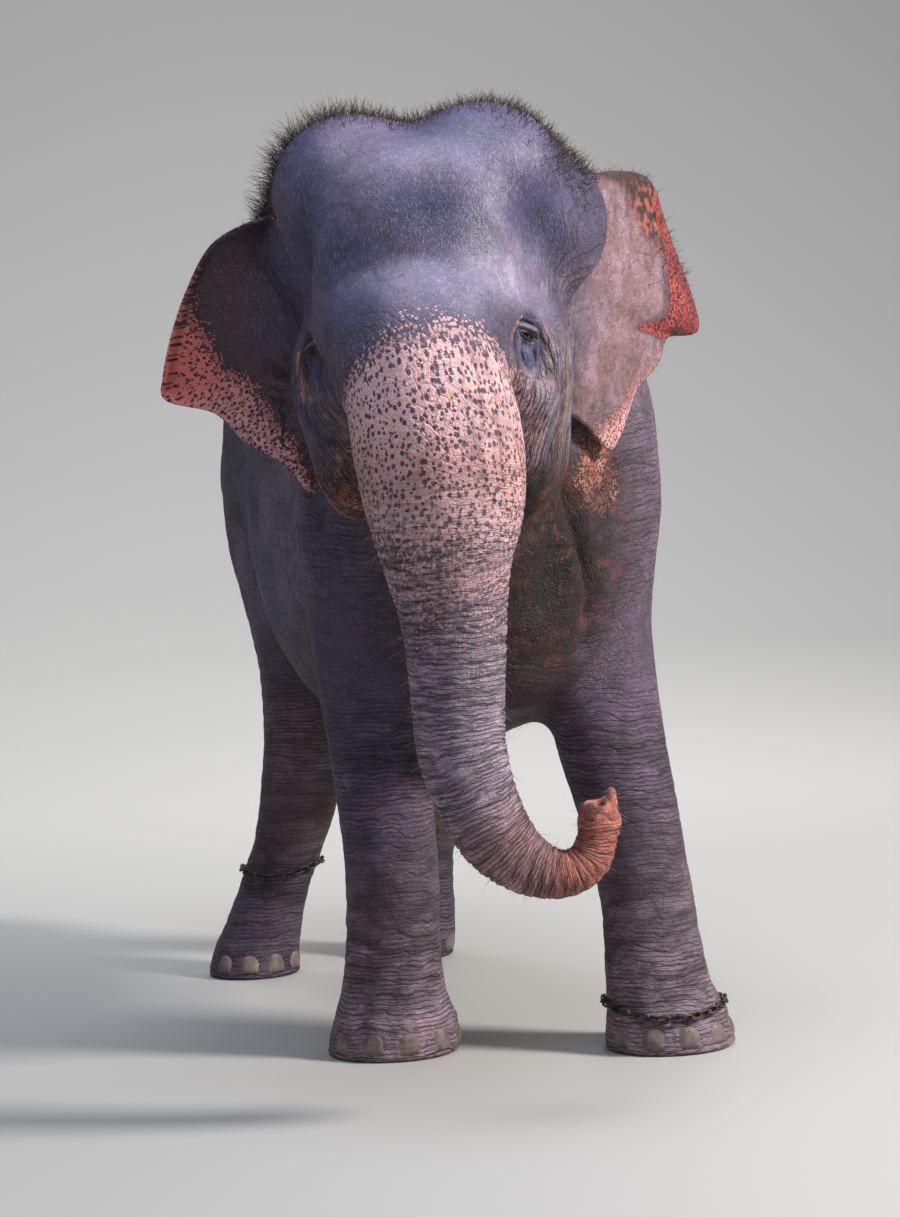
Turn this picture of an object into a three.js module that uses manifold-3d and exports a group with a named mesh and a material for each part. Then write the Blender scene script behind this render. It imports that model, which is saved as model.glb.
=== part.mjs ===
// A life-size standing Asian elephant cow as a still museum model. Millimetres, +Z up, facing -Y,
// its own left side towards +X. The flesh is one implicit body, blended from named forms, which is meshed
// region by region and parted at thin flat joints; ears, nails, eyes, tail and leg chains are built apart.
import * as THREE from "three";
import { mergeVertices } from "three/addons/utils/BufferGeometryUtils.js";
import Module from "manifold-3d";

const wasm = await Module();
wasm.setup();

const GAP = 0.3; // clearance between touching nodes
const SIDES = [["right", -1], ["left", 1]];

// ---------- driving dimensions ----------
const legLines = { // centre line x, y, z and radius, from the sole up into the body
  front_right: [[-271, 115, 0, 168], [-268, 112, 60, 155], [-268, 108, 134, 134], [-266, 100, 260, 121],
    [-262, 90, 386, 119], [-266, 80, 520, 117], [-272, 90, 660, 121], [-281, 105, 820, 126],
    [-290, 110, 980, 137], [-297, 80, 1140, 146], [-298, 40, 1320, 156]],
  front_left: [[368, -150, 0, 163], [361, -150, 60, 150], [351, -150, 110, 137], [336, -145, 236, 123],
    [331, -135, 361, 117], [317, -120, 488, 118], [291, -105, 640, 127], [276, -80, 740, 134],
    [266, -50, 850, 140], [262, -10, 980, 146], [266, 20, 1140, 148], [272, 30, 1320, 156]],
  hind_right: [[-350, 1465, 0, 134], [-342, 1465, 43, 126], [-330, 1465, 85, 116], [-292, 1455, 214, 100],
    [-266, 1440, 300, 98], [-245, 1425, 365, 99], [-214, 1385, 500, 112], [-194, 1340, 650, 122],
    [-180, 1310, 780, 137], [-165, 1310, 920, 158], [-152, 1335, 1080, 182], [-150, 1380, 1260, 200]],
  hind_left: [[135, 1540, 0, 132], [148, 1538, 60, 124], [163, 1530, 130, 112], [172, 1525, 214, 101],
    [176, 1508, 300, 98], [180, 1478, 400, 101], [182, 1430, 520, 113], [180, 1370, 660, 124],
    [176, 1330, 780, 139], [164, 1320, 920, 160], [150, 1340, 1080, 184], [148, 1380, 1260, 200]],
};
const torsoRows = [ // y, centre x, half width, top and bottom of the trunk of the body
  [-420, -60, 120, 1560, 1260], [-330, -30, 190, 1690, 1080], [-200, -10, 285, 1830, 905],
  [0, 0, 365, 1965, 815], [200, 8, 396, 2028, 768], [450, 19, 418, 2062, 728], [700, 20, 426, 2082, 702],
  [950, 5, 405, 2080, 735], [1200, -11, 353, 2050, 830], [1400, -28, 325, 2000, 950],
  [1570, -36, 282, 1920, 1080], [1700, -40, 212, 1800, 1210], [1790, -42, 120, 1670, 1370]];
const head = { at: [-287, -560, 1745], yaw: -24, roll: -1.8, pitch: 0 };
const temple = { right: { x: 258, wide: 142 }, left: { x: 268, wide: 153 } };
const eye = { at: [232, -50, 2], radius: 23, sunk: 13 };
const trunkLine = [ // centre line x, y, z and radius, from inside the face to the tip
  [-352, -730, 1720, 176], [-345, -800, 1622, 184], [-336, -835, 1507, 189], [-333, -852, 1397, 177],
  [-335, -855, 1287, 147], [-326, -850, 1176, 124], [-321, -845, 1065, 112], [-321, -840, 954, 105],
  [-317, -842, 843, 100], [-296, -848, 748, 94], [-248, -862, 640, 84], [-178, -876, 575, 66],
  [-108, -890, 556, 54], [-57, -900, 580, 49], [-34, -906, 630, 46], [-31, -910, 676, 43]];
const trunkJoints = [0.31, 0.54, 0.725, 0.86]; // shares of the line's length where the trunk is parted
const tailLine = [[-46, 1700, 1640, 80], [-46, 1800, 1592, 62], [-44, 1866, 1490, 43], [-42, 1892, 1340, 33],
  [-42, 1898, 1150, 26], [-46, 1896, 950, 20], [-52, 1890, 800, 15], [-56, 1884, 690, 10]];
const tuft = { locks: 15, length: [95, 170], width: 9, from: 0.72 };
const rimLines = { // ear margins, from the top of the root round to the lobe
  right: [[-564, -420, 2059], [-628, -330, 2050], [-702, -240, 2009], [-752, -150, 1916],
    [-785, -90, 1813], [-805, -50, 1711], [-801, -50, 1651], [-695, -120, 1616], [-638, -170, 1547],
    [-557, -230, 1488], [-506, -300, 1413], [-479, -360, 1461], [-484, -420, 1539]],
  left: [[177, -410, 2126], [297, -310, 2149], [397, -200, 2132], [469, -100, 2057], [530, -40, 1953],
    [573, -10, 1851], [576, -20, 1768], [457, -110, 1751], [410, -170, 1692], [334, -220, 1625],
    [276, -280, 1535], [225, -330, 1481], [173, -380, 1529], [137, -420, 1617]],
};
const rootLine = [[300, 150, 372], [318, 190, 250], [296, 190, 90], [268, 160, -60], [225, 150, -200]];
const ear = { across: 6, around: 24, root: 13, rim: 4.5, cup: { right: [14, 44, 0], left: [40, 26, 0] } };
const nails = { front: [-66, -33, 0, 33, 66], hind: [-54, -18, 18, 54], height: 40, radii: [27, 14, 31] };
const chains = [
  { name: "chain_hind_right", leg: "hind_right", z: 306, tilt: 0.06, links: 26 },
  { name: "chain_front_left", leg: "front_left", z: 104, tilt: -0.04, links: 34 },
];
const link = { thick: 7, wide: 13 }; // half sizes of a link seen on edge and seen flat
const cells = { torso: 115, neck: 84, head: 60, leg: 76, tip: 20 };

// ---------- distance forms ----------
const V = (a) => new THREE.Vector3(a[0], a[1], a[2]);
const clamp = (x, lo, hi) => Math.min(hi, Math.max(lo, x));
const mix = (a, b, t) => a + (b - a) * t;
function ball([cx, cy, cz], [rx, ry, rz]) {
  return (x, y, z) => {
    const a = (x - cx) / rx, b = (y - cy) / ry, c = (z - cz) / rz;
    const k = Math.sqrt(a * a + b * b + c * c), g = Math.sqrt((a / rx) ** 2 + (b / ry) ** 2 + (c / rz) ** 2);
    return g > 1e-9 ? (k * (k - 1)) / g : -Math.min(rx, ry, rz);
  };
}
function limb([ax, ay, az], [bx, by, bz], ra, rb) {
  const dx = bx - ax, dy = by - ay, dz = bz - az, l2 = dx * dx + dy * dy + dz * dz;
  return (x, y, z) => {
    const px = x - ax, py = y - ay, pz = z - az;
    const t = clamp((px * dx + py * dy + pz * dz) / l2, 0, 1);
    return Math.sqrt((px - t * dx) ** 2 + (py - t * dy) ** 2 + (pz - t * dz) ** 2) - (ra + (rb - ra) * t);
  };
}
function blend(a, b, k) { // smooth union
  const h = Math.max(k - Math.abs(a - b), 0) / k;
  return Math.min(a, b) - h * h * k * 0.25;
}
const carve = (a, b, k) => -blend(-a, b, k); // smooth cut of b out of a
function spline(rows, t) { // smooth values at t counted in rows
  const i = clamp(Math.floor(t), 0, rows.length - 2), f = t - i;
  const [a, b, c, d] = [i - 1, i, i + 1, i + 2].map((j) => rows[clamp(j, 0, rows.length - 1)]);
  return b.map((v, q) => {
    const bend = 2 * a[q] - 5 * v + 4 * c[q] - d[q], twist = 3 * (v - c[q]) + d[q] - a[q];
    return v + 0.5 * f * (c[q] - a[q] + f * (bend + f * twist));
  });
}
function tube(rows, fine = 3) { // a chain of round cones through the rows, as one form
  const stations = Array.from({ length: (rows.length - 1) * fine + 1 }, (_, i) => spline(rows, i / fine));
  const forms = stations.slice(1).map((b, i) => limb(stations[i], b, stations[i][3], b[3]));
  const box = [0, 1, 2].map((c) => [
    Math.min(...stations.map((s) => s[c] - s[3])), Math.max(...stations.map((s) => s[c] + s[3]))]);
  return (x, y, z) => {
    const dx = Math.max(0, box[0][0] - x, x - box[0][1]), dy = Math.max(0, box[1][0] - y, y - box[1][1]);
    const dz = Math.max(0, box[2][0] - z, z - box[2][1]), away = Math.sqrt(dx * dx + dy * dy + dz * dz);
    if (away > 200) return away;
    let d = 1e9;
    for (const form of forms) d = Math.min(d, form(x, y, z));
    return d;
  };
}

// ---------- the head, in its own frame: x left, y back, z up, from the point between the eyes ----------
const headTurn = new THREE.Matrix4().makeRotationFromEuler(
  new THREE.Euler(...["pitch", "roll", "yaw"].map((n) => THREE.MathUtils.degToRad(head[n])), "ZYX"));
const headFrame = new THREE.Matrix4().makeTranslation(...head.at).multiply(headTurn);
const headBack = headFrame.clone().invert();
const headPoint = (p) => V(p).applyMatrix4(headFrame).toArray();
const both = (s, [x, y, z]) => [s * x, y, z];
const headForms = [
  { form: ball([0, 90, 215], [290, 250, 280]), k: 1 },
  ...SIDES.flatMap(([side, s]) => [
    { form: ball(both(s, [148, 84, 372]), [190, 190, 174]), k: 60 },
    { form: ball(both(s, [temple[side].x, 196, 266]), [temple[side].wide, 142, 172]), k: 70 },
    { form: ball(both(s, [204, 80, -60]), [124, 175, 170]), k: 80 },
    { form: ball(both(s, [186, 125, -228]), [116, 145, 168]), k: 70 },
    { form: limb(both(s, [120, -175, 75]), both(s, [236, -46, 66]), 52, 34), k: 60 },
    { form: limb(both(s, [110, 150, -285]), [0, -40, -376], 88, 50), k: 50 },
  ]),
  { form: ball([0, -75, 190], [215, 150, 250]), k: 90 },
  { form: ball([0, -130, -45], [190, 175, 175]), k: 80 },
  { form: limb([0, -40, -376], [0, -112, -414], 50, 32), k: 30 },
];
const headHollows = SIDES.flatMap(([, s]) => [
  { form: ball(both(s, [318, -55, 150]), [66, 90, 100]), k: 70 },
  { form: ball(both(s, [282, -72, -45]), [36, 48, 90]), k: 35 },
]);
function headField(X, Y, Z) {
  const m = headBack.elements;
  const x = m[0] * X + m[4] * Y + m[8] * Z + m[12];
  const y = m[1] * X + m[5] * Y + m[9] * Z + m[13];
  const z = m[2] * X + m[6] * Y + m[10] * Z + m[14];
  let d = 1e9;
  for (const { form, k } of headForms) d = blend(d, form(x, y, z), k);
  for (const { form, k } of headHollows) d = carve(d, form(x, y, z), k);
  return d;
}

// ---------- the trunk, with its finger and nostrils ----------
const trunkCurve = new THREE.CatmullRomCurve3(trunkLine.map((p) => V(p)), false, "centripetal");
trunkCurve.arcLengthDivisions = 400;
const trunkRow = (share) => {
  const p = trunkCurve.getPointAt(share);
  return [p.x, p.y, p.z, spline(trunkLine, trunkCurve.getUtoTmapping(share) * (trunkLine.length - 1))[3]];
};
const trunkTube = tube(Array.from({ length: 61 }, (_, i) => trunkRow(i / 60)), 1);
const tipForms = [
  { form: limb([-8, -910, 662], [3, -906, 734], 30, 11), k: 16 },
  { form: limb([-50, -911, 668], [-58, -911, 700], 26, 15), k: 16 },
];
const nostrils = [1, -1].map((s) => ball([-33, -910 + s * 15, 724], [15, 10, 34]));
function trunkField(x, y, z) {
  let d = trunkTube(x, y, z);
  if (Math.abs(x + 30) + Math.abs(y + 910) + Math.abs(z - 690) > 260) return d;
  for (const { form, k } of tipForms) d = blend(d, form(x, y, z), k);
  for (const form of nostrils) d = carve(d, form(x, y, z), 8);
  return d;
}

// ---------- neck, body and legs ----------
function torso(x, y, z) { // egg-shaped sections, widest below the middle
  const last = torsoRows.length - 1, yy = clamp(y, torsoRows[0][0], torsoRows[last][0]);
  let i = 0;
  while (i < last - 1 && torsoRows[i + 1][0] < yy) i++;
  const t = i + (yy - torsoRows[i][0]) / (torsoRows[i + 1][0] - torsoRows[i][0]);
  const [, cx, w, top, bottom] = spline(torsoRows, t);
  const cz = mix(bottom, top, 0.44), dx = x - cx, dz = z - cz, h = dz > 0 ? top - cz : cz - bottom;
  const a = Math.abs(dx / w) ** 2.15 + Math.abs(dz / h) ** 2.15, f = a ** (1 / 2.15);
  const r = Math.sqrt(dx * dx + dz * dz), side = f > 1e-6 ? r * (1 - 1 / f) : -Math.min(w, h);
  const out = y - yy;
  return out === 0 ? side : Math.sqrt(Math.max(side, 0) ** 2 + out * out);
}
const legForms = Object.values(legLines).map((rows) => tube(rows));
const bodyForms = [
  { form: torso, k: 1 },
  { form: limb([-20, 90, 1600], [-160, -300, 1790], 350, 290), k: 150 },
  { form: limb([-60, -40, 1330], [-185, -340, 1590], 270, 215), k: 140 },
  { form: limb([-20, -170, 1010], [-60, -230, 1280], 130, 200), k: 110 },
  ...SIDES.flatMap(([, s]) => [
    { form: ball([s * 266, 25, 1480], [182, 225, 400]), k: 110 },
    { form: ball([s * 168 - 26, 1320, 1560], [168, 290, 320]), k: 110 },
    { form: limb([s * 140 - 35, 1500, 1420], [s * 150 - 20, 1440, 1000], 165, 120), k: 100 },
    { form: ball([s * 215 - 30, 1130, 1745], [105, 130, 90]), k: 80 },
  ]),
  ...legForms.map((form) => ({ form, k: 95 })),
];
function bodyField(x, y, z) {
  let d = 1e9;
  for (const { form, k } of bodyForms) d = blend(d, form(x, y, z), k);
  return d;
}
function flesh(x, y, z) {
  const b = bodyField(x, y, z);
  if (y > 250) return b;
  return blend(blend(headField(x, y, z), trunkField(x, y, z), 55), b, 90);
}

// ---------- meshing: surface nets on a box of cells, drawn onto the surface afterwards ----------
function gradient(field, x, y, z, e = 2) {
  return [field(x + e, y, z) - field(x - e, y, z), field(x, y + e, z) - field(x, y - e, z),
    field(x, y, z + e) - field(x, y, z - e)].map((g) => g / (2 * e));
}
function drawn(field, p, cell) { // the point moved onto the surface, by less than half a cell
  let [x, y, z] = p;
  for (let turn = 0; turn < 4; turn++) {
    const d = field(x, y, z), g = gradient(field, x, y, z);
    const s = clamp(d / Math.max(0.25, g[0] ** 2 + g[1] ** 2 + g[2] ** 2), -cell / 3, cell / 3);
    [x, y, z] = [x - g[0] * s, y - g[1] * s, z - g[2] * s];
  }
  const moved = Math.hypot(x - p[0], y - p[1], z - p[2]), most = cell * 0.45;
  return [x, y, z].map((v, c) => mix(p[c], v, moved > most ? most / moved : 1));
}
function settle(value, n, index) { // fills face diagonals, so that the net stays one closed surface
  const faces = [[[1, 0, 0], [0, 1, 0]], [[0, 1, 0], [0, 0, 1]], [[0, 0, 1], [1, 0, 0]]];
  for (let changed = true; changed;) {
    changed = false;
    for (const [u, w] of faces)
      for (let k = 0; k < n[2] - u[2] - w[2]; k++)
        for (let j = 0; j < n[1] - u[1] - w[1]; j++)
          for (let i = 0; i < n[0] - u[0] - w[0]; i++) {
            const c = [[0, 0], [1, 0], [1, 1], [0, 1]].map(([a, b]) =>
              index(i + a * u[0] + b * w[0], j + a * u[1] + b * w[1], k + a * u[2] + b * w[2]));
            const neg = c.map((q) => value[q] < 0);
            if (neg[0] !== neg[2] || neg[1] !== neg[3] || neg[0] === neg[1]) continue;
            const out = c.filter((_, q) => !neg[q]).sort((p, q) => value[p] - value[q]);
            value[out[0]] = -0.01;
            changed = true;
          }
  }
}
function netMesh(field, low, high, cell) {
  const n = low.map((lo, i) => Math.ceil((high[i] - lo) / cell) + 1);
  const index = (i, j, k) => (k * n[1] + j) * n[0] + i;
  const value = new Float64Array(n[0] * n[1] * n[2]);
  for (let k = 0; k < n[2]; k++)
    for (let j = 0; j < n[1]; j++)
      for (let i = 0; i < n[0]; i++) {
        const rim = !i || !j || !k || i === n[0] - 1 || j === n[1] - 1 || k === n[2] - 1;
        const d = field(low[0] + i * cell, low[1] + j * cell, low[2] + k * cell);
        value[index(i, j, k)] = rim ? Math.max(d, 0.01) : d;
      }
  settle(value, n, index);
  const corners = [0, 1].flatMap((c) => [0, 1].flatMap((b) => [0, 1].map((a) => [a, b, c])));
  const vertexAt = new Map(), points = [], faces = [];
  for (let k = 0; k < n[2] - 1; k++)
    for (let j = 0; j < n[1] - 1; j++)
      for (let i = 0; i < n[0] - 1; i++) {
        const v = corners.map(([a, b, c]) => value[index(i + a, j + b, k + c)]);
        const inside = v.filter((d) => d < 0).length;
        if (inside === 0 || inside === 8) continue;
        const sum = [0, 0, 0];
        let count = 0;
        for (let p = 0; p < 8; p++)
          for (const bit of [1, 2, 4]) {
            const q = p | bit;
            if (q === p || v[p] < 0 === v[q] < 0) continue;
            const t = v[p] / (v[p] - v[q]);
            for (let c = 0; c < 3; c++) sum[c] += mix(corners[p][c], corners[q][c], t);
            count++;
          }
        vertexAt.set(index(i, j, k), points.length);
        points.push([i, j, k].map((g, c) => low[c] + (g + sum[c] / count) * cell));
      }
  const step = [index(1, 0, 0), index(0, 1, 0), index(0, 0, 1)];
  for (let k = 0; k < n[2] - 1; k++)
    for (let j = 0; j < n[1] - 1; j++)
      for (let i = 0; i < n[0] - 1; i++) {
        const here = index(i, j, k);
        for (let a = 0; a < 3; a++) {
          if (value[here] < 0 === value[here + step[a]] < 0) continue;
          const u = step[(a + 1) % 3], w = step[(a + 2) % 3];
          const quad = [here, here - u, here - u - w, here - w].map((c) => vertexAt.get(c));
          if (value[here] >= 0) quad.reverse();
          faces.push([quad[0], quad[1], quad[2]], [quad[0], quad[2], quad[3]]);
        }
      }
  return solid(points.map((p) => drawn(field, p, cell)), faces);
}

// ---------- solids ----------
function solid(points, faces) {
  return new wasm.Manifold(new wasm.Mesh({
    numProp: 3, vertProperties: new Float32Array(points.flat()), triVerts: new Uint32Array(faces.flat()) }));
}
function solidOf(geometry, matrix) {
  const g = new THREE.BufferGeometry().setAttribute("position", geometry.getAttribute("position").clone());
  if (geometry.index) g.setIndex(geometry.index.clone());
  if (matrix) g.applyMatrix4(matrix);
  const m = mergeVertices(g, 1e-3);
  return new wasm.Manifold(new wasm.Mesh({
    numProp: 3, vertProperties: m.attributes.position.array, triVerts: new Uint32Array(m.index.array) }));
}
const largest = (s) => s.decompose().sort((a, b) => b.volume() - a.volume())[0];
const joined = (list) => list.slice(1).reduce((a, b) => a.add(b), list[0]);
function meshOf(shape) {
  const m = shape.getMesh(), v = [];
  for (let i = 0, j = 0; i < m.numVert; i++, j += m.numProp) v.push([...m.vertProperties.subarray(j, j + 3)]);
  return { v, t: m.triVerts };
}
function grown(shape, by) { // every vertex moved out along its normal
  const { v, t } = meshOf(shape), normals = v.map(() => new THREE.Vector3());
  for (let i = 0; i < t.length; i += 3) {
    const [a, b, c] = [V(v[t[i]]), V(v[t[i + 1]]), V(v[t[i + 2]])];
    const n = b.clone().sub(a).cross(c.clone().sub(a));
    [0, 1, 2].forEach((q) => normals[t[i + q]].add(n));
  }
  const moved = v.map((p, i) => normals[i].normalize().multiplyScalar(by).add(V(p)).toArray());
  return solid(moved, Array.from({ length: t.length / 3 }, (_, i) => [t[3 * i], t[3 * i + 1], t[3 * i + 2]]));
}
const clearOf = (shape, bodies) => // cut back from other bodies, with the clearance
  largest(bodies.reduce((a, body) => a.subtract(grown(body, GAP * 1.4)), shape));
const before = (s, n, d) => s.trimByPlane([-n[0], -n[1], -n[2]], -d + GAP / 2);
const beyond = (s, n, d) => s.trimByPlane(n, d + GAP / 2);
const plane = (n, p) => { // unit normal and its distance through the point
  const u = V(n).normalize();
  return [u.toArray(), u.dot(V(p))];
};
function loft(rings) { // closed rings of points, capped by fans to their centres
  const n = rings[0].length, points = rings.flat(), faces = [];
  const centre = (ring) => [0, 1, 2].map((c) => ring.reduce((s, p) => s + p[c], 0) / n);
  const first = points.push(centre(rings[0])) - 1, last = points.push(centre(rings.at(-1))) - 1;
  const base = (rings.length - 1) * n;
  for (let i = 0; i < n; i++) {
    const j = (i + 1) % n;
    for (let r = 0; r < rings.length - 1; r++)
      faces.push([r * n + i, r * n + j, r * n + n + j], [r * n + i, r * n + n + j, r * n + n + i]);
    faces.push([first, j, i], [last, base + i, base + j]);
  }
  const s = solid(points, faces);
  return s.volume() > 0 ? s : solid(points, faces.map((f) => f.slice().reverse()));
}
const place = (p, x, y, z) => new THREE.Matrix4().makeBasis(V(x), V(y), V(z)).setPosition(V(p));
const sphere = (r, w, h) => new THREE.SphereGeometry(r, w, h);

// ---------- the exported group ----------
const finish = (color, roughness, metalness = 0) =>
  new THREE.MeshStandardMaterial({ color, roughness, metalness });
const skin = finish(0x6b6264, 0.85), earSkin = finish(0x7a5f5a, 0.8), horn = finish(0x9c8d80, 0.6);
const eyeGloss = finish(0x2a1c14, 0.12), tailHair = finish(0x1c1816, 0.7), iron = finish(0x2b2a2c, 0.45, 0.9);
const origin = [-112, 457, 0]; // middle of the animal's footprint, which becomes the group's origin
const elephant = new THREE.Group();
const made = {};
function node(name, shape, material = skin) {
  const m = shape.getMesh();
  const v = new Float32Array(m.numVert * 3);
  for (let i = 0; i < m.numVert; i++)
    for (let c = 0; c < 3; c++) v[i * 3 + c] = m.vertProperties[i * m.numProp + c] - origin[c];
  const g = new THREE.BufferGeometry().setAttribute("position", new THREE.BufferAttribute(v, 3));
  g.setIndex(new THREE.BufferAttribute(m.triVerts, 1));
  const mesh = new THREE.Mesh(g, material);
  mesh.name = name;
  elephant.add(mesh);
  made[name] = shape;
}

// ---------- joint planes ----------
const nape = plane(V([0, 1, -0.12]).transformDirection(headFrame).toArray(), headPoint([0, 268, 40]));
const neckBase = plane([0.2, 0.92, -0.34], [-60, -140, 1550]);
const trunkPlane = (share) => plane(trunkCurve.getTangentAt(share).toArray(), trunkRow(share));
const underFloor = new THREE.Matrix4().makeTranslation(0, 700, -400);
const floorBox = solidOf(new THREE.BoxGeometry(3000, 5000, 800), underFloor);
const legZones = { // inner x, nearest and farthest y, slope of the joint and its height at y 0
  front_right: [-60, -400, 330, -0.62, 1000], front_left: [60, -400, 250, -0.62, 950],
  hind_right: [-46, 1040, 1760, 0.6, 150], hind_left: [-14, 1040, 1760, 0.6, 150],
};
function legZone(name, spare) { // the wedge of space that belongs to a leg
  const s = name.endsWith("left") ? 1 : -1, [x0, y0, y1, slope, z0] = legZones[name];
  const x = [x0 - s * spare, s * 700], top = (y) => z0 + slope * y + spare * Math.hypot(1, slope);
  const ys = [y0 - spare, y1 + spare];
  const geometry = new THREE.BoxGeometry(1, 1, 1), p = geometry.attributes.position;
  for (let i = 0; i < p.count; i++) {
    const y = ys[p.getY(i) > 0 ? 1 : 0];
    const q = [p.getX(i) > 0 ? Math.max(...x) : Math.min(...x), y, p.getZ(i) > 0 ? top(y) : -300];
    p.setXYZ(i, ...q);
  }
  return solidOf(geometry);
}

// ---------- torso, neck and legs ----------
const legNames = Object.keys(legLines);
const bodyNet = netMesh(flesh, [-640, -520, 560], [640, 1960, 2190], cells.torso);
let trunkOfBody = beyond(bodyNet, ...neckBase);
for (const name of legNames) trunkOfBody = trunkOfBody.subtract(legZone(name, GAP / 2));
trunkOfBody = largest(trunkOfBody);
const torsoParts = [["chest", -900, 420], ["barrel", 420, 1080], ["rump", 1080, 2500]];
for (const [name, from, to] of torsoParts)
  node(name, largest(before(beyond(trunkOfBody, [0, 1, 0], from), [0, 1, 0], to)));
const neckNet = netMesh(flesh, [-720, -720, 860], [480, 420, 2260], cells.neck);
node("neck", largest(before(beyond(neckNet, ...nape), ...neckBase)));
const legJoints = { front: [500, 150], hind: [400, 120] };
function reach(field, centre, d, r) { // the point on the surface straight out from a centre
  let lo = 0, hi = r;
  for (let turn = 0; turn < 16; turn++) {
    const m = (lo + hi) / 2;
    if (field(centre[0] + d[0] * m, centre[1] + d[1] * m, centre[2] + d[2] * m) < 0) lo = m;
    else hi = m;
  }
  return centre.map((c, i) => c + d[i] * lo);
}
function legRing(rows, z, sides = 18) {
  let t = 0;
  while (spline(rows, t)[2] < z) t += 0.02;
  const [x, y, , r] = spline(rows, t);
  return Array.from({ length: sides }, (_, i) => {
    const a = (i / sides) * Math.PI * 2;
    return reach(flesh, [x, y, z], [Math.cos(a), Math.sin(a), 0], r * 1.7);
  });
}
const legPart = (rows, from, to, count) =>
  loft(Array.from({ length: count + 1 }, (_, i) => legRing(rows, mix(from, to, i / count))));
for (const name of legNames) {
  const rows = legLines[name], [x0, y0, y1] = legZones[name], s = name.endsWith("left") ? 1 : -1;
  const [knee, ankle] = legJoints[name.split("_")[0]];
  const low = [s > 0 ? x0 - 80 : -560, y0 - 60, knee - 120], high = [s > 0 ? 560 : x0 + 80, y1 + 60, 1290];
  const upper = beyond(netMesh(flesh, low, high, cells.leg).intersect(legZone(name, -GAP / 2)), ...neckBase);
  node(`${name}_upper_leg`, largest(beyond(upper, [0, 0, 1], knee)));
  node(`${name}_lower_leg`, legPart(rows, ankle + GAP / 2, knee - GAP / 2, 6));
  node(`${name}_foot`, legPart(rows, 0, ankle - GAP / 2, 3));
  const [fx, fy] = rows[0];
  nails[name.split("_")[0]].forEach((degrees, i) => {
    const turn = THREE.MathUtils.degToRad(degrees), out = [Math.sin(turn) * s, -Math.cos(turn), 0];
    const seat = reach(flesh, [fx, fy, nails.height], out, 300).map((v, c) => v - out[c] * 3);
    const m = place(seat, [out[1], -out[0], 0], out, [0, 0, 1]).scale(V(nails.radii));
    const nail = solidOf(sphere(1, 8, 4), m).subtract(floorBox);
    node(`${name}_nail_${i + 1}`, clearOf(nail, [made[`${name}_foot`]]), horn);
  });
}

// ---------- trunk rings ----------
const trunkSpan = trunkCurve.getLength();
function trunkRing(share, sides = 20, spread = 0) {
  const [x, y, z, r] = trunkRow(share), axis = trunkCurve.getTangentAt(share);
  const back = V([0.2, 1, 0]).projectOnPlane(axis).normalize(), over = axis.clone().cross(back);
  return Array.from({ length: sides }, (_, i) => {
    const a = (i / sides) * Math.PI * 2;
    const d = back.clone().multiplyScalar(Math.cos(a)).addScaledVector(over, Math.sin(a));
    if (spread) return V([x, y, z]).addScaledVector(d, r * spread).toArray();
    return reach(trunkField, [x, y, z], d.toArray(), r * 1.6);
  });
}

// ---------- head: sockets, lids, jaw and mouth line ----------
const almond = new THREE.Shape();
almond.moveTo(-22, -1).quadraticCurveTo(-8, 15, 4, 13).quadraticCurveTo(16, 10, 22, -1);
almond.quadraticCurveTo(8, -13, -4, -12).quadraticCurveTo(-16, -9, -22, -1);
const headNet = netMesh(flesh, [-760, -1110, 1140], [240, -40, 2400], cells.head);
const sleeve = loft(Array.from({ length: 9 }, (_, i) => // the room of the free trunk below its root
  trunkRing(trunkJoints[0] - GAP / 2 / trunkSpan + i * 0.03, 20, 1.1)));
let skull = largest(before(headNet.subtract(sleeve), ...nape));
const eyes = SIDES.map(([side, s]) => {
  let p = headPoint(both(s, eye.at));
  const n = V(gradient(flesh, ...p)).normalize();
  for (let turn = 0; turn < 6; turn++) p = V(p).addScaledVector(n, -(flesh(...p) + eye.sunk)).toArray();
  const out = V(both(s, [0.86, -0.5, 0])).transformDirection(headFrame);
  const up = V([0, 0, 1]).transformDirection(headFrame);
  const across = up.clone().cross(out).normalize();
  const frame = place(p, across.toArray(), out.clone().cross(across).toArray(), out.toArray());
  return { side, p, out, frame };
});
const slit = new THREE.ExtrudeGeometry(almond, { depth: 60, bevelEnabled: false, curveSegments: 5 });
for (const { frame } of eyes) {
  skull = skull.add(solidOf(sphere(eye.radius + 8, 12, 8), frame));
  skull = skull.subtract(solidOf(sphere(eye.radius + GAP, 12, 8), frame)).subtract(solidOf(slit, frame));
}
const jawShape = new THREE.Shape([[-24, -286], [-95, -346], [-160, -392], [-330, -560], [420, -660],
  [420, -330], [120, -310]].map((p) => new THREE.Vector2(...p)));
const sideways = place([-400, 0, 0], [0, 1, 0], [0, 0, 1], [1, 0, 0]);
const jawZone = solidOf(new THREE.ExtrudeGeometry(jawShape, { depth: 800, bevelEnabled: false }), sideways)
  .transform(headFrame.elements);
node("jaw", largest(skull.intersect(jawZone)));
const lipLine = SIDES.map(([, s]) => solidOf(sphere(1, 12, 8),
  headFrame.clone().multiply(place(both(s, [190, -44, -300]), [1, 0, 0], [0, 0.76, 0.65], [0, -0.65, 0.76]))
    .scale(V([70, 66, 5]))));
const lift = V([0, -0.8, 1.15]).multiplyScalar(GAP).applyMatrix4(headTurn).toArray();
node("head", largest(skull.subtract(jawZone).subtract(jawZone.translate(lift)).subtract(joined(lipLine))));
for (const { side, frame } of eyes) node(`eye_${side}`, solidOf(sphere(eye.radius, 12, 8), frame), eyeGloss);

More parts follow.
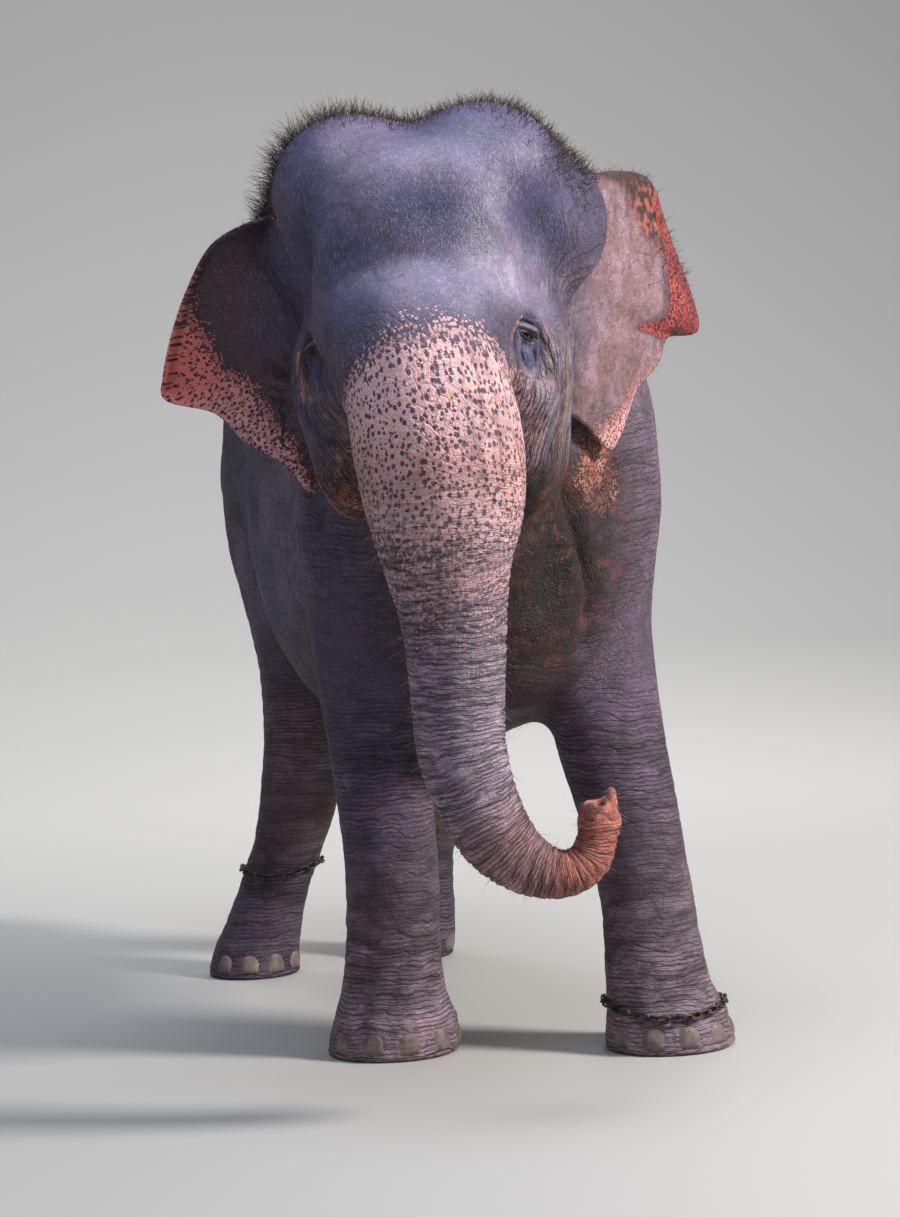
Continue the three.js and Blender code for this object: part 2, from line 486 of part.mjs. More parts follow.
// ---------- trunk lengths ----------
const trunkNames = ["trunk_upper", "trunk_middle", "trunk_lower"];
trunkNames.forEach((name, i) => {
  const slack = GAP / 2 / trunkSpan, a = trunkJoints[i] + slack, b = trunkJoints[i + 1] - slack;
  const count = Math.round(((b - a) * trunkSpan) / 34);
  node(name, loft(Array.from({ length: count + 1 }, (_, q) => trunkRing(mix(a, b, q / count)))));
});
const tipNet = netMesh(trunkField, [-260, -1010, 470], [60, -800, 790], cells.tip);
node("trunk_tip", largest(beyond(tipNet, ...trunkPlane(trunkJoints[3]))));

// ---------- ears: thick sheets from the root line to the margin ----------
const rows = (points, t) => spline(points, clamp(t, 0, 1) * (points.length - 1));
function earSheet(side, s) {
  const root = rootLine.map((p) => headPoint(both(s, p))), rim = rimLines[side], cup = ear.cup[side];
  const at = (u, v) => {
    const a = rows(root, v), b = rows(rim, v);
    const bulge = 4 * u * (1 - u) * Math.sin(Math.PI * clamp(v, 0.04, 0.96));
    return [0, 1, 2].map((c) => mix(a[c], b[c], u) + cup[c] * bulge);
  };
  const sheets = [[], []];
  for (let j = 0; j <= ear.around; j++)
    for (let i = 0; i <= ear.across; i++) {
      const u = i / ear.across, v = j / ear.around, e = 0.01;
      const p = V(at(u, v)), du = V(at(u + e, v)).sub(V(at(u - e, v)));
      const dv = V(at(u, Math.min(1, v + e))).sub(V(at(u, Math.max(0, v - e))));
      const n = du.cross(dv).normalize(), t = mix(ear.root, ear.rim, u ** 0.7);
      sheets[0].push(p.clone().addScaledVector(n, t).toArray());
      sheets[1].push(p.clone().addScaledVector(n, -t).toArray());
    }
  const wide = ear.across + 1, count = sheets[0].length, faces = [];
  const quad = (a, b, c, d) => faces.push([a, b, c], [a, c, d]);
  for (let j = 0; j < ear.around; j++)
    for (let i = 0; i < ear.across; i++) {
      const a = j * wide + i, b = a + 1, c = a + wide + 1, d = a + wide;
      quad(a, b, c, d);
      quad(count + a, count + d, count + c, count + b);
    }
  const edge = [...Array.from({ length: ear.across }, (_, i) => i),
    ...Array.from({ length: ear.around }, (_, j) => j * wide + ear.across),
    ...Array.from({ length: ear.across }, (_, i) => ear.around * wide + ear.across - i),
    ...Array.from({ length: ear.around }, (_, j) => (ear.around - j) * wide)];
  edge.forEach((a, i) => {
    const b = edge[(i + 1) % edge.length];
    quad(a, count + a, count + b, b);
  });
  const sheet = solid(sheets.flat(), faces);
  return sheet.volume() > 0 ? sheet : solid(sheets.flat(), faces.map((f) => f.slice().reverse()));
}
for (const [side, s] of SIDES) {
  node(`ear_${side}`, clearOf(earSheet(side, s), [headNet, neckNet, bodyNet]), earSkin);
}

// ---------- tail with its tuft ----------
const tailCurve = new THREE.CatmullRomCurve3(tailLine.map(V), false, "centripetal");
const tailRow = (share) => {
  const p = tailCurve.getPointAt(share), t = tailCurve.getUtoTmapping(share) * (tailLine.length - 1);
  return { p, r: spline(tailLine, t)[3], axis: tailCurve.getTangentAt(share) };
};
const tailLength = (from, to, count) => loft(Array.from({ length: count + 1 }, (_, i) => {
  const { p, r, axis } = tailRow(mix(from, to, i / count));
  const over = V([1, 0, 0]).projectOnPlane(axis).normalize(), back = axis.clone().cross(over);
  return Array.from({ length: 10 }, (_, q) => {
    const a = (q / 10) * Math.PI * 2;
    const left = p.clone().addScaledVector(over, r * 0.85 * Math.cos(a));
    return left.addScaledVector(back, r * Math.sin(a)).toArray();
  });
}));
let seed = 7;
const chance = (lo, hi) => {
  seed = (seed * 16807) % 2147483647;
  return mix(lo, hi, seed / 2147483647);
};
function lock(from, way, length, width) { // one flat tapered strand of hair
  const side = way.clone().cross(V([chance(-0.3, 0.3), chance(-0.3, 0.3), 1])).normalize();
  const flat = way.clone().cross(side).normalize(), sag = V([0, 0, -length * 0.18]);
  return loft([0, 0.4, 0.75, 1].map((t) => {
    const c = from.clone().addScaledVector(way, length * t).addScaledVector(sag, t * t);
    const w = width * (1 - 0.8 * t), h = w * 0.45;
    return [[w, 0], [0, h], [-w, 0], [0, -h]].map(([a, b]) =>
      c.clone().addScaledVector(side, a).addScaledVector(flat, b).toArray());
  }));
}
const locks = Array.from({ length: tuft.locks }, (_, i) => {
  const share = mix(tuft.from, 0.995, i / (tuft.locks - 1)), { p, axis } = tailRow(share);
  const fore = i % 2 ? 1 : -1;
  const lean = V([chance(-0.25, 0.25), fore * chance(0.25, 0.5), 0]);
  const way = axis.clone().add(lean).normalize();
  return lock(p.clone().addScaledVector(axis, -6), way, chance(...tuft.length), tuft.width);
});
const tailGap = GAP / tailCurve.getLength();
node("tail", clearOf(tailLength(0, tuft.from - 0.02 - tailGap, 9), [bodyNet]));
node("tail_tuft", largest(joined([tailLength(tuft.from - 0.02, 1, 4), ...locks])), tailHair);

// ---------- chain loops: closed bands whose links stand in turn on edge and flat ----------
function chainLoop({ leg, z, tilt, links }) {
  const line = legLines[leg], count = links * 3;
  let t = 0;
  while (spline(line, t)[2] < z) t += 0.02;
  const [x, y, , r] = spline(line, t);
  const rings = Array.from({ length: count }, (_, i) => {
    const a = (i / count) * Math.PI * 2, d = V([Math.cos(a), Math.sin(a), tilt * Math.cos(a)]);
    const p = V(reach(flesh, [x, y, z], d.toArray(), r * 1.8)).addScaledVector(d, link.wide + 1);
    const flat = Math.floor(i / 3) % 2, waist = i % 3 === 0 ? 0.6 : 1;
    const [w, h] = flat ? [link.thick, link.wide] : [link.wide, link.thick];
    return [[1, 0], [0, 1], [-1, 0], [0, -1]].map(([u, v]) =>
      p.clone().addScaledVector(d, u * w * waist).add(V([0, 0, v * h * waist])).toArray());
  });
  const faces = rings.flatMap((_, i) => [0, 1, 2, 3].flatMap((q) => {
    const j = (i + 1) % count, n = (q + 1) % 4;
    return [[i * 4 + q, j * 4 + q, j * 4 + n], [i * 4 + q, j * 4 + n, i * 4 + n]];
  }));
  const band = solid(rings.flat(), faces);
  return band.volume() > 0 ? band : solid(rings.flat(), faces.map((f) => f.slice().reverse()));
}
for (const chain of chains) {
  const leg = ["foot", "lower_leg"].map((part) => made[`${chain.leg}_${part}`]);
  node(chain.name, clearOf(chainLoop(chain), leg), iron);
}

export default elephant;
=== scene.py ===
# A life-size standing Asian elephant cow. One skin is grown from the same blended forms as the packed
# solids; eyes, toenails, hair and the two chain loops are pieces of their own. Forms are in millimetres
# in the animal's own frame (facing -Y, its left at +X) and become metres in the shared frame as meshes.
import math
import time
from itertools import product

import bmesh
import bpy
import numpy as np
from mathutils import Matrix, Vector
from mathutils.bvhtree import BVHTree
from mathutils.kdtree import KDTree


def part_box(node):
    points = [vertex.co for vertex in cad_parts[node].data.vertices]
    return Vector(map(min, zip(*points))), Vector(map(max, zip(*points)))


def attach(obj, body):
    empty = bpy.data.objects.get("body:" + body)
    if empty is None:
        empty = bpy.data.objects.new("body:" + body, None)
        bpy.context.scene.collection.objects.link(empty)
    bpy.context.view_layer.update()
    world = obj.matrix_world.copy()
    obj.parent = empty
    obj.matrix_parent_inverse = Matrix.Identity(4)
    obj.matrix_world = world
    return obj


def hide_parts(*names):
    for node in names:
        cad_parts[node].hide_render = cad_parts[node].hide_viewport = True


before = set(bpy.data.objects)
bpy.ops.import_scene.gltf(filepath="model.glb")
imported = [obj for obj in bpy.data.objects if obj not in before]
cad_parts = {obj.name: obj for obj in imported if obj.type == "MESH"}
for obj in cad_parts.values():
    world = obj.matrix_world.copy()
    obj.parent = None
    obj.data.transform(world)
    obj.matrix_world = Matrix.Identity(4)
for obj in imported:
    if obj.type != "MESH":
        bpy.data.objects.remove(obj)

started = time.time()
scene = bpy.context.scene
for name in ("Cube", "Light", "Camera"):
    if name in bpy.data.objects:
        bpy.data.objects.remove(bpy.data.objects[name])
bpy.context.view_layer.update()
origin = np.array([-112.0, 457.0, 0.0])


def report(words):
    print(f"{time.time() - started:6.1f} s  {words}", flush=True)


# the animal's lines: centre x, y, z and radius, as the solids have them
legLines = {
    "front_right": [
        [-271, 115, 0, 168], [-268, 112, 60, 155], [-268, 108, 134, 134], [-266, 100, 260, 121],
        [-262, 90, 386, 119], [-266, 80, 520, 117], [-272, 90, 660, 121], [-281, 105, 820, 126],
        [-290, 110, 980, 137], [-297, 80, 1140, 146], [-298, 40, 1320, 156]],
    "front_left": [
        [368, -150, 0, 163], [361, -150, 60, 150], [351, -150, 110, 137], [336, -145, 236, 123],
        [331, -135, 361, 117], [317, -120, 488, 118], [291, -105, 640, 127], [276, -80, 740, 134],
        [266, -50, 850, 140], [262, -10, 980, 146], [266, 20, 1140, 148], [272, 30, 1320, 156]],
    "hind_right": [
        [-350, 1465, 0, 134], [-342, 1465, 43, 126], [-330, 1465, 85, 116], [-292, 1455, 214, 100],
        [-266, 1440, 300, 98], [-245, 1425, 365, 99], [-214, 1385, 500, 112], [-194, 1340, 650, 122],
        [-180, 1310, 780, 137], [-165, 1310, 920, 158], [-152, 1335, 1080, 182], [-150, 1380, 1260, 200]],
    "hind_left": [
        [135, 1540, 0, 132], [148, 1538, 60, 124], [163, 1530, 130, 112], [172, 1525, 214, 101],
        [176, 1508, 300, 98], [180, 1478, 400, 101], [182, 1430, 520, 113], [180, 1370, 660, 124],
        [176, 1330, 780, 139], [164, 1320, 920, 160], [150, 1340, 1080, 184], [148, 1380, 1260, 200]],
}
torsoRows = [  # y, centre x, half width, top and bottom
    [-420, -60, 120, 1560, 1260], [-330, -30, 190, 1690, 1080], [-200, -10, 285, 1830, 905],
    [0, 0, 365, 1965, 815], [200, 8, 396, 2028, 768], [450, 19, 418, 2062, 728],
    [700, 20, 426, 2082, 702], [950, 5, 405, 2080, 735], [1200, -11, 353, 2050, 830],
    [1400, -28, 325, 2000, 950], [1570, -36, 282, 1920, 1080], [1700, -40, 212, 1800, 1210],
    [1790, -42, 120, 1670, 1370]]
head = {"at": (-287, -560, 1745), "yaw": -24, "roll": -1.8, "temple": {-1: (258, 142), 1: (268, 153)}}
trunkLine = [
    [-352, -730, 1720, 176], [-345, -800, 1622, 184], [-336, -835, 1507, 189], [-333, -852, 1397, 177],
    [-335, -855, 1287, 147], [-326, -850, 1176, 124], [-321, -845, 1065, 112], [-321, -840, 954, 105],
    [-317, -842, 843, 100], [-296, -848, 748, 94], [-248, -862, 640, 84], [-178, -876, 575, 66],
    [-108, -890, 556, 54], [-57, -900, 580, 49], [-34, -906, 630, 46], [-31, -910, 676, 43]]
tailLine = [
    [-46, 1700, 1640, 80], [-46, 1800, 1592, 62], [-44, 1866, 1490, 43], [-42, 1892, 1340, 33],
    [-42, 1898, 1150, 26], [-46, 1896, 950, 20], [-52, 1890, 800, 15], [-56, 1884, 690, 10]]
rimLines = {  # ear margins, from the top of the root round to the lobe
    "right": [
        [-564, -420, 2059], [-628, -330, 2050], [-702, -240, 2009], [-752, -150, 1916],
        [-785, -90, 1813], [-805, -50, 1711], [-801, -50, 1651], [-695, -120, 1616], [-638, -170, 1547],
        [-557, -230, 1488], [-506, -300, 1413], [-479, -360, 1461], [-484, -420, 1539]],
    "left": [
        [177, -410, 2126], [297, -310, 2149], [397, -200, 2132], [469, -100, 2057], [530, -40, 1953],
        [573, -10, 1851], [576, -20, 1768], [457, -110, 1751], [410, -170, 1692], [334, -220, 1625],
        [276, -280, 1535], [225, -330, 1481], [173, -380, 1529], [137, -420, 1617]],
}
rootLine = [[300, 150, 372], [318, 190, 250], [296, 190, 90], [268, 160, -60], [225, 150, -200]]
sides = {"right": -1, "left": 1}


corners = list(product((0, 1), repeat=3))  # of a grid cell


def asFloat(a):
    return np.asarray(a, np.float32)


def mix(a, b, t):
    return a + (b - a) * t


def ramp(x, low, high):  # 0 below low, 1 above high, smooth between
    t = np.clip((x - low) / (high - low), 0, 1)
    return t * t * (3 - 2 * t)


def lengthOf(v):
    return np.sqrt((v * v).sum(-1))


def bump(x, width):  # 1 in the middle, falling away to both sides
    return np.exp(-(x / width) ** 2)


def blob(p, middle, reach):
    return bump(lengthOf((p - middle) / reach), 1)


def noise(p, size, seed=0):  # smooth noise from 0 to 1, its features of a size in mm
    q = np.asarray(p, float) / np.asarray(size, float) + seed * 17.31
    base = np.floor(q).astype(np.int64)
    f = q - base
    f = f * f * f * (f * (f * 6 - 15) + 10)
    total = np.zeros(len(q))
    for dx, dy, dz in corners:
        i, j, k = base[:, 0] + dx, base[:, 1] + dy, base[:, 2] + dz
        h = (i * 73856093) ^ (j * 19349663) ^ (k * 83492791)
        h = (h ^ (h >> 13)) * 1274126177
        h = (h ^ (h >> 16)) & 0xFFFFF
        w = (f[:, 0] if dx else 1 - f[:, 0]) * (f[:, 1] if dy else 1 - f[:, 1])
        total += w * (f[:, 2] if dz else 1 - f[:, 2]) * (h / 0xFFFFF)
    return total


def specks(p, size, seed, low, high):  # patches of noise
    return ramp(noise(p, size, seed), low, high)


def lines(p, size, seed, width):  # 1 along winding lines, 0 between them
    return bump((noise(p, size, seed) - 0.5) * np.min(size), width)


def cloud(p, size, seed):  # softer, without the grain of one lattice
    turned = p @ np.array([(0.36, 0.48, -0.8), (-0.8, 0.6, 0.0), (0.48, 0.64, 0.6)])
    other = p @ np.array([(0.6, 0.0, 0.8), (0.64, 0.6, -0.48), (-0.48, 0.8, 0.36)])
    broad, middling = 0.5 * noise(turned, size, seed), 0.3 * noise(other, size * 0.53, seed + 3)
    return broad + middling + 0.2 * noise(p, size * 0.3, seed + 5)


def ball(centre, radii):
    c, r = asFloat(centre), asFloat(radii)

    def form(p):
        q = (p - c) / r
        k = lengthOf(q)
        g = lengthOf(q / r)
        return np.where(g > 1e-7, k * (k - 1) / np.maximum(g, 1e-7), -r.min())
    return form


def limb(a, b, ra, rb):
    a, ab = asFloat(a), asFloat(b) - asFloat(a)
    square = float(ab @ ab)

    def form(p):
        ap = p - a
        t = np.clip(ap @ ab / square, 0, 1)
        return lengthOf(ap - t[:, None] * ab) - (ra + (rb - ra) * t)
    return form


def blend(a, b, k):  # smooth union
    h = np.maximum(k - np.abs(a - b), 0) / k
    return np.minimum(a, b) - h * h * k * 0.25


def carve(a, b, k):  # smooth cut of b out of a
    return -blend(-a, b, k)


def spline(rows, t):  # smooth rows at t, counted in rows
    rows, t = asFloat(rows), np.atleast_1d(asFloat(t))
    last = len(rows) - 1
    i = np.clip(np.floor(t).astype(int), 0, last - 1)
    f = (t - i)[:, None]
    a, b, c, d = (rows[np.clip(i + j, 0, last)] for j in (-1, 0, 1, 2))
    return b + 0.5 * f * (c - a + f * (2 * a - 5 * b + 4 * c - d + f * (3 * (b - c) + d - a)))


def pathOf(rows, count):  # a smooth line of points through rows
    return spline(rows, np.linspace(0, len(rows) - 1, count))


def farFrom(p, path):  # from each point to each point of a path
    return np.sqrt(((p[:, None] - path[None]) ** 2).sum(2))


def tube(rows, fine=3):
    st = spline(rows, np.arange((len(rows) - 1) * fine + 1) / fine)
    low, high = (st[:, :3] - st[:, 3:]).min(0), (st[:, :3] + st[:, 3:]).max(0)
    forms = [limb(a[:3], b[:3], a[3], b[3]) for a, b in zip(st, st[1:])]

    def form(p):
        d = lengthOf(np.maximum(0, np.maximum(low - p, p - high)))
        near = d <= 200
        q = p[near]
        best = np.full(len(q), 1e9, np.float32)
        for one in forms:
            np.minimum(best, one(q), out=best)
        d[near] = best
        return d
    return form


def headMatrix():
    yaw, roll = math.radians(head["yaw"]), math.radians(head["roll"])
    turn = np.array(Matrix.Rotation(yaw, 3, "Z") @ Matrix.Rotation(roll, 3, "Y"))
    return asFloat(turn)


headTurn = headMatrix()


def toHead(p):
    return (p - asFloat(head["at"])) @ headTurn


def fromHead(p):
    return asFloat(p) @ headTurn.T + asFloat(head["at"])


def mirrored(s, v):
    return (s * v[0], v[1], v[2])


headForms = [(ball((0, 90, 215), (290, 250, 280)), 1)]
headHollows = []
for s in (-1, 1):
    headForms += [
        (ball((s * 148, 84, 372), (190, 190, 174)), 60),
        (ball((s * head["temple"][s][0], 196, 266), (head["temple"][s][1], 142, 172)), 70),
        (ball((s * 204, 80, -60), (124, 175, 170)), 80),
        (ball((s * 186, 125, -228), (116, 145, 168)), 70),
        (limb((s * 120, -175, 75), (s * 236, -46, 66), 52, 34), 60),
        (limb((s * 110, 150, -285), (0, -40, -376), 88, 50), 50)]
    headHollows += [
        (ball((s * 318, -55, 150), (66, 90, 100)), 70),
        (ball((s * 282, -72, -45), (36, 48, 90)), 35)]
headForms += [
    (ball((0, -75, 190), (215, 150, 250)), 90),
    (ball((0, -130, -45), (190, 175, 175)), 80),
    (limb((0, -40, -376), (0, -112, -414), 50, 32), 30)]


def headField(p):
    q = toHead(p)
    d = headForms[0][0](q)
    for form, k in headForms[1:]:
        d = blend(d, form(q), k)
    for form, k in headHollows:
        d = carve(d, form(q), k)
    return d


def curveThrough(rows, perPiece=60):  # centripetal curve: points, row numbers and lengths along it
    pts = np.array([r[:3] for r in rows], float)
    ends = np.vstack([2 * pts[0] - pts[1], pts, 2 * pts[-1] - pts[-2]])
    out, at = [], []
    for i in range(len(pts) - 1):
        p0, p1, p2, p3 = ends[i:i + 4]
        d0, d1, d2 = (np.sqrt(lengthOf(b - a)) for a, b in ((p0, p1), (p1, p2), (p2, p3)))
        t1 = ((p1 - p0) / d0 - (p2 - p0) / (d0 + d1) + (p2 - p1) / d1) * d1
        t2 = ((p2 - p1) / d1 - (p3 - p1) / (d1 + d2) + (p3 - p2) / d2) * d1
        for w in np.arange(perPiece + (i == len(pts) - 2)) / perPiece:
            square, cube = -3 * p1 + 3 * p2 - 2 * t1 - t2, 2 * p1 - 2 * p2 + t1 + t2
            out.append(p1 + t1 * w + square * w ** 2 + cube * w ** 3)
            at.append(i + w)
    out = np.array(out)
    run = np.concatenate([[0], np.cumsum(lengthOf(np.diff(out, axis=0)))])
    return out, np.array(at), run


def evenRows(rows, count):  # rows with radii at even lengths along the curve
    pts, at, run = curveThrough(rows)
    want = np.linspace(0, run[-1], count)
    centre = np.stack([np.interp(want, run, pts[:, c]) for c in range(3)], 1)
    return np.hstack([centre, spline(rows, np.interp(want, run, at))[:, 3:]]), want


trunkRows, trunkRuns = evenRows(trunkLine, 61)
trunkTube = tube(trunkRows, 1)
tailRows, tailRuns = evenRows(tailLine, 30)
tailTube = tube(tailRows, 1)
tipForms = [
    (limb((-8, -910, 662), (3, -906, 734), 30, 11), 16),
    (limb((-50, -911, 668), (-58, -911, 700), 26, 15), 16)]
nostrils = [ball((-33, -910 + s * 15, 724), (13, 9, 36)) for s in (-1, 1)]


def trunkField(p):
    d = trunkTube(p)
    near = np.abs(p - asFloat((-30, -910, 690))).sum(1) <= 260
    q, e = p[near], d[near]
    for form, k in tipForms:
        e = blend(e, form(q), k)
    for form in nostrils:
        e = carve(e, form(q), 6)
    d[near] = e
    return d


def torso(p):  # egg-shaped sections, widest below the middle
    rows = asFloat(torsoRows)
    yy = np.clip(p[:, 1], rows[0, 0], rows[-1, 0])
    i = np.clip(np.searchsorted(rows[:, 0], yy, side="right") - 1, 0, len(rows) - 2)
    t = i + (yy - rows[i, 0]) / (rows[i + 1, 0] - rows[i, 0])
    _, cx, w, top, bottom = spline(rows, t).T
    cz = mix(bottom, top, 0.44)
    dx, dz = p[:, 0] - cx, p[:, 2] - cz
    h = np.where(dz > 0, top - cz, cz - bottom)
    f = (np.abs(dx / w) ** 2.15 + np.abs(dz / h) ** 2.15) ** (1 / 2.15)
    side = np.where(f > 1e-6, np.sqrt(dx ** 2 + dz ** 2) * (1 - 1 / np.maximum(f, 1e-6)), -np.minimum(w, h))
    out = p[:, 1] - yy
    return np.where(out == 0, side, np.sqrt(np.maximum(side, 0) ** 2 + out ** 2))


bodyForms = [
    (limb((-20, 90, 1600), (-160, -300, 1790), 350, 290), 150),
    (limb((-60, -40, 1330), (-185, -340, 1590), 270, 215), 140),
    (limb((-20, -170, 1010), (-60, -230, 1280), 130, 200), 110)]
for s in (-1, 1):
    bodyForms += [
        (ball((s * 266, 25, 1480), (182, 225, 400)), 110),
        (ball((s * 168 - 26, 1320, 1560), (168, 290, 320)), 110),
        (limb((s * 140 - 35, 1500, 1420), (s * 150 - 20, 1440, 1000), 165, 120), 100),
        (ball((s * 215 - 30, 1130, 1745), (105, 130, 90)), 80)]
bodyForms += [(tube(rows), 95) for rows in legLines.values()]


def flesh(p):
    d = torso(p)
    for form, k in bodyForms:
        d = blend(d, form(p), k)
    front = p[:, 1] <= 250
    if front.any():
        q = p[front]
        d[front] = blend(blend(headField(q), trunkField(q), 55), d[front], 90)
    return d


def skinForm(p):  # flesh with the tail, and rounded edges round flat soles
    d = blend(flesh(p), tailTube(p), 60)
    return -blend(-d, p[:, 2], 16)


def inChunks(form, p, size=60000):
    p = asFloat(p)
    return np.concatenate([form(p[i:i + size]) for i in range(0, len(p), size)] or [np.zeros(0)])


# the skin's mesh: quads round the zero of the form, on a grid that is filled only near it
skinMesh = {"cell": 8.0, "low": (-660.0, -1150.0, -18.0), "high": (640.0, 1990.0, 2330.0), "levels": 3, "relax": 3}


def filledGrid(form, spec):
    low, cell = np.array(spec["low"]), spec["cell"]
    step = 2 ** spec["levels"]
    blocks = np.ceil((np.array(spec["high"]) - low) / (cell * step)).astype(int)
    value = None
    while step >= 1:
        shape = blocks * (2 ** spec["levels"] // step) + 1
        if value is None:
            value = np.zeros(shape, np.float32)
            todo = np.argwhere(np.ones(shape, bool))
        else:
            value = value.repeat(2, 0).repeat(2, 1).repeat(2, 2)[:shape[0], :shape[1], :shape[2]].copy()
            todo = np.argwhere(np.abs(value) < cell * step * 3.6)
        value[tuple(todo.T)] = inChunks(form, low + todo * (cell * step))
        step //= 2
    value[:, :, 0] = np.maximum(value[:, :, 0], 0.01)
    return value


def sampled(value, spec, p):  # the grid's value and slope at points
    q = (p - np.array(spec["low"])) / spec["cell"]
    i = np.clip(np.floor(q).astype(int), 0, np.array(value.shape) - 2)
    f = q - i
    c = {k: value[tuple((i + k).T)].astype(float) for k in corners}
    x, y, z = f.T

    def along(axis, lo, hi, u, v):
        names = [(0, 0), (1, 0), (0, 1), (1, 1)]
        full = [tuple(np.insert(n, axis, e)) for e in (lo, hi) for n in names]
        w = [(1 - u) * (1 - v), u * (1 - v), (1 - u) * v, u * v]
        a = sum(c[full[k]] * w[k] for k in range(4))
        b = sum(c[full[k + 4]] * w[k] for k in range(4))
        return a, b
    x0, x1 = along(0, 0, 1, y, z)
    y0, y1 = along(1, 0, 1, x, z)
    z0, z1 = along(2, 0, 1, x, y)
    return mix(x0, x1, x), np.stack([x1 - x0, y1 - y0, z1 - z0], 1) / spec["cell"]


def netOf(value, spec):
    inside = value < 0
    n = np.array(value.shape)
    count = np.zeros(n - 1, np.uint8)
    for a, b, c in corners:
        count += inside[a:n[0] - 1 + a, b:n[1] - 1 + b, c:n[2] - 1 + c]
    cells = np.argwhere((count > 0) & (count < 8))
    number = np.full(n - 1, -1, np.int32)
    number[tuple(cells.T)] = np.arange(len(cells))
    v = {k: value[tuple((cells + k).T)].astype(float) for k in corners}
    total, hits = np.zeros((len(cells), 3)), np.zeros(len(cells))
    for k in corners:
        for axis in range(3):
            if k[axis]:
                continue
            m = tuple(1 if c == axis else k[c] for c in range(3))
            cross = (v[k] < 0) != (v[m] < 0)
            t = np.where(cross, v[k] / np.where(cross, v[k] - v[m], 1), 0)
            at = np.tile(np.array(k, float), (len(cells), 1))
            at[:, axis] = t
            total += at * cross[:, None]
            hits += cross
    points = np.array(spec["low"]) + (cells + total / hits[:, None]) * spec["cell"]
    quads = []
    for axis in range(3):
        u, w = (axis + 1) % 3, (axis + 2) % 3
        lead = [slice(1, -1)] * 3
        lead[axis] = slice(0, -1)
        tail = list(lead)
        tail[axis] = slice(1, None)
        a, b = inside[tuple(lead)], inside[tuple(tail)]
        here = np.argwhere(a != b)
        here[:, u] += 1
        here[:, w] += 1
        du, dw = np.zeros(3, int), np.zeros(3, int)
        du[u], dw[w] = 1, 1
        ring = [number[tuple((here - off).T)] for off in (0, du, du + dw, dw)]
        q = np.stack(ring, 1)
        flip = inside[tuple(here.T)]
        q[~flip] = q[~flip][:, ::-1]
        quads.append(q)
    return points, np.concatenate(quads)


def smoothed(points, edges, times, amount=0.5, weight=None):  # each point drawn to its neighbours
    n = len(points)
    degree = np.bincount(edges.ravel(), minlength=n).astype(float)
    for _ in range(times):
        near = np.stack([np.bincount(edges[:, 0], points[edges[:, 1], c], n)
                         + np.bincount(edges[:, 1], points[edges[:, 0], c], n) for c in range(3)], 1)
        w = amount if weight is None else (amount * weight)[:, None]
        points = mix(points, near / np.maximum(degree, 1)[:, None], w)
    return points


def edgesOf(quads):
    e = np.sort(np.concatenate([quads[:, [i, (i + 1) % 4]] for i in range(4)]), axis=1)
    key = np.unique(e[:, 0].astype(np.int64) * (quads.max() + 1) + e[:, 1])
    return np.stack([key // (quads.max() + 1), key % (quads.max() + 1)], 1)


def grownSkin(spec):
    value = filledGrid(skinForm, spec)
    report("grid filled")
    points, quads = netOf(value, spec)
    edges = edgesOf(quads)
    for _ in range(spec["relax"]):
        points = smoothed(points, edges, 1)
        d, g = sampled(value, spec, points)
        points = points - g * (d / np.maximum((g * g).sum(1), 0.2))[:, None]
    points[:, 2] = np.maximum(points[:, 2], 0)
    report(f"skin net of {len(quads)} faces")
    return points, quads


def meshObject(name, points, faces):  # points in millimetres of the animal's frame
    pts = (np.asarray(points, float) - origin) / 1000
    mesh = bpy.data.meshes.new(name)
    if isinstance(faces, np.ndarray):
        count, size = faces.shape
        mesh.vertices.add(len(pts))
        mesh.vertices.foreach_set("co", pts.astype(np.float32).ravel())
        mesh.loops.add(count * size)
        mesh.loops.foreach_set("vertex_index", faces.astype(np.int32).ravel())
        mesh.polygons.add(count)
        mesh.polygons.foreach_set("loop_start", np.arange(0, count * size, size, dtype=np.int32))
        mesh.update(calc_edges=True)
    else:
        mesh.from_pydata(pts.tolist(), [], faces)
    mesh.validate()
    obj = bpy.data.objects.new(name, mesh)
    scene.collection.objects.link(obj)
    mesh.shade_smooth()
    return obj


# ears: thick sheets from the root line to the margin, joined into the skin
ears = {
    "across": 60, "around": 150, "root": 13.0, "rim": 4.0,
    "cup": {"right": (14, 44, 0), "left": (40, 26, 0)},
    "fold": {"left": (0.74, 34.0), "right": (0.90, -26.0)},  # where the margin turns, and how far
    "lobe": {"left": (46.0, 1.0), "right": (8.0, 0.8)},  # how far the lower edge is drawn up, how blunt it is
    "ripple": 5.0,
}


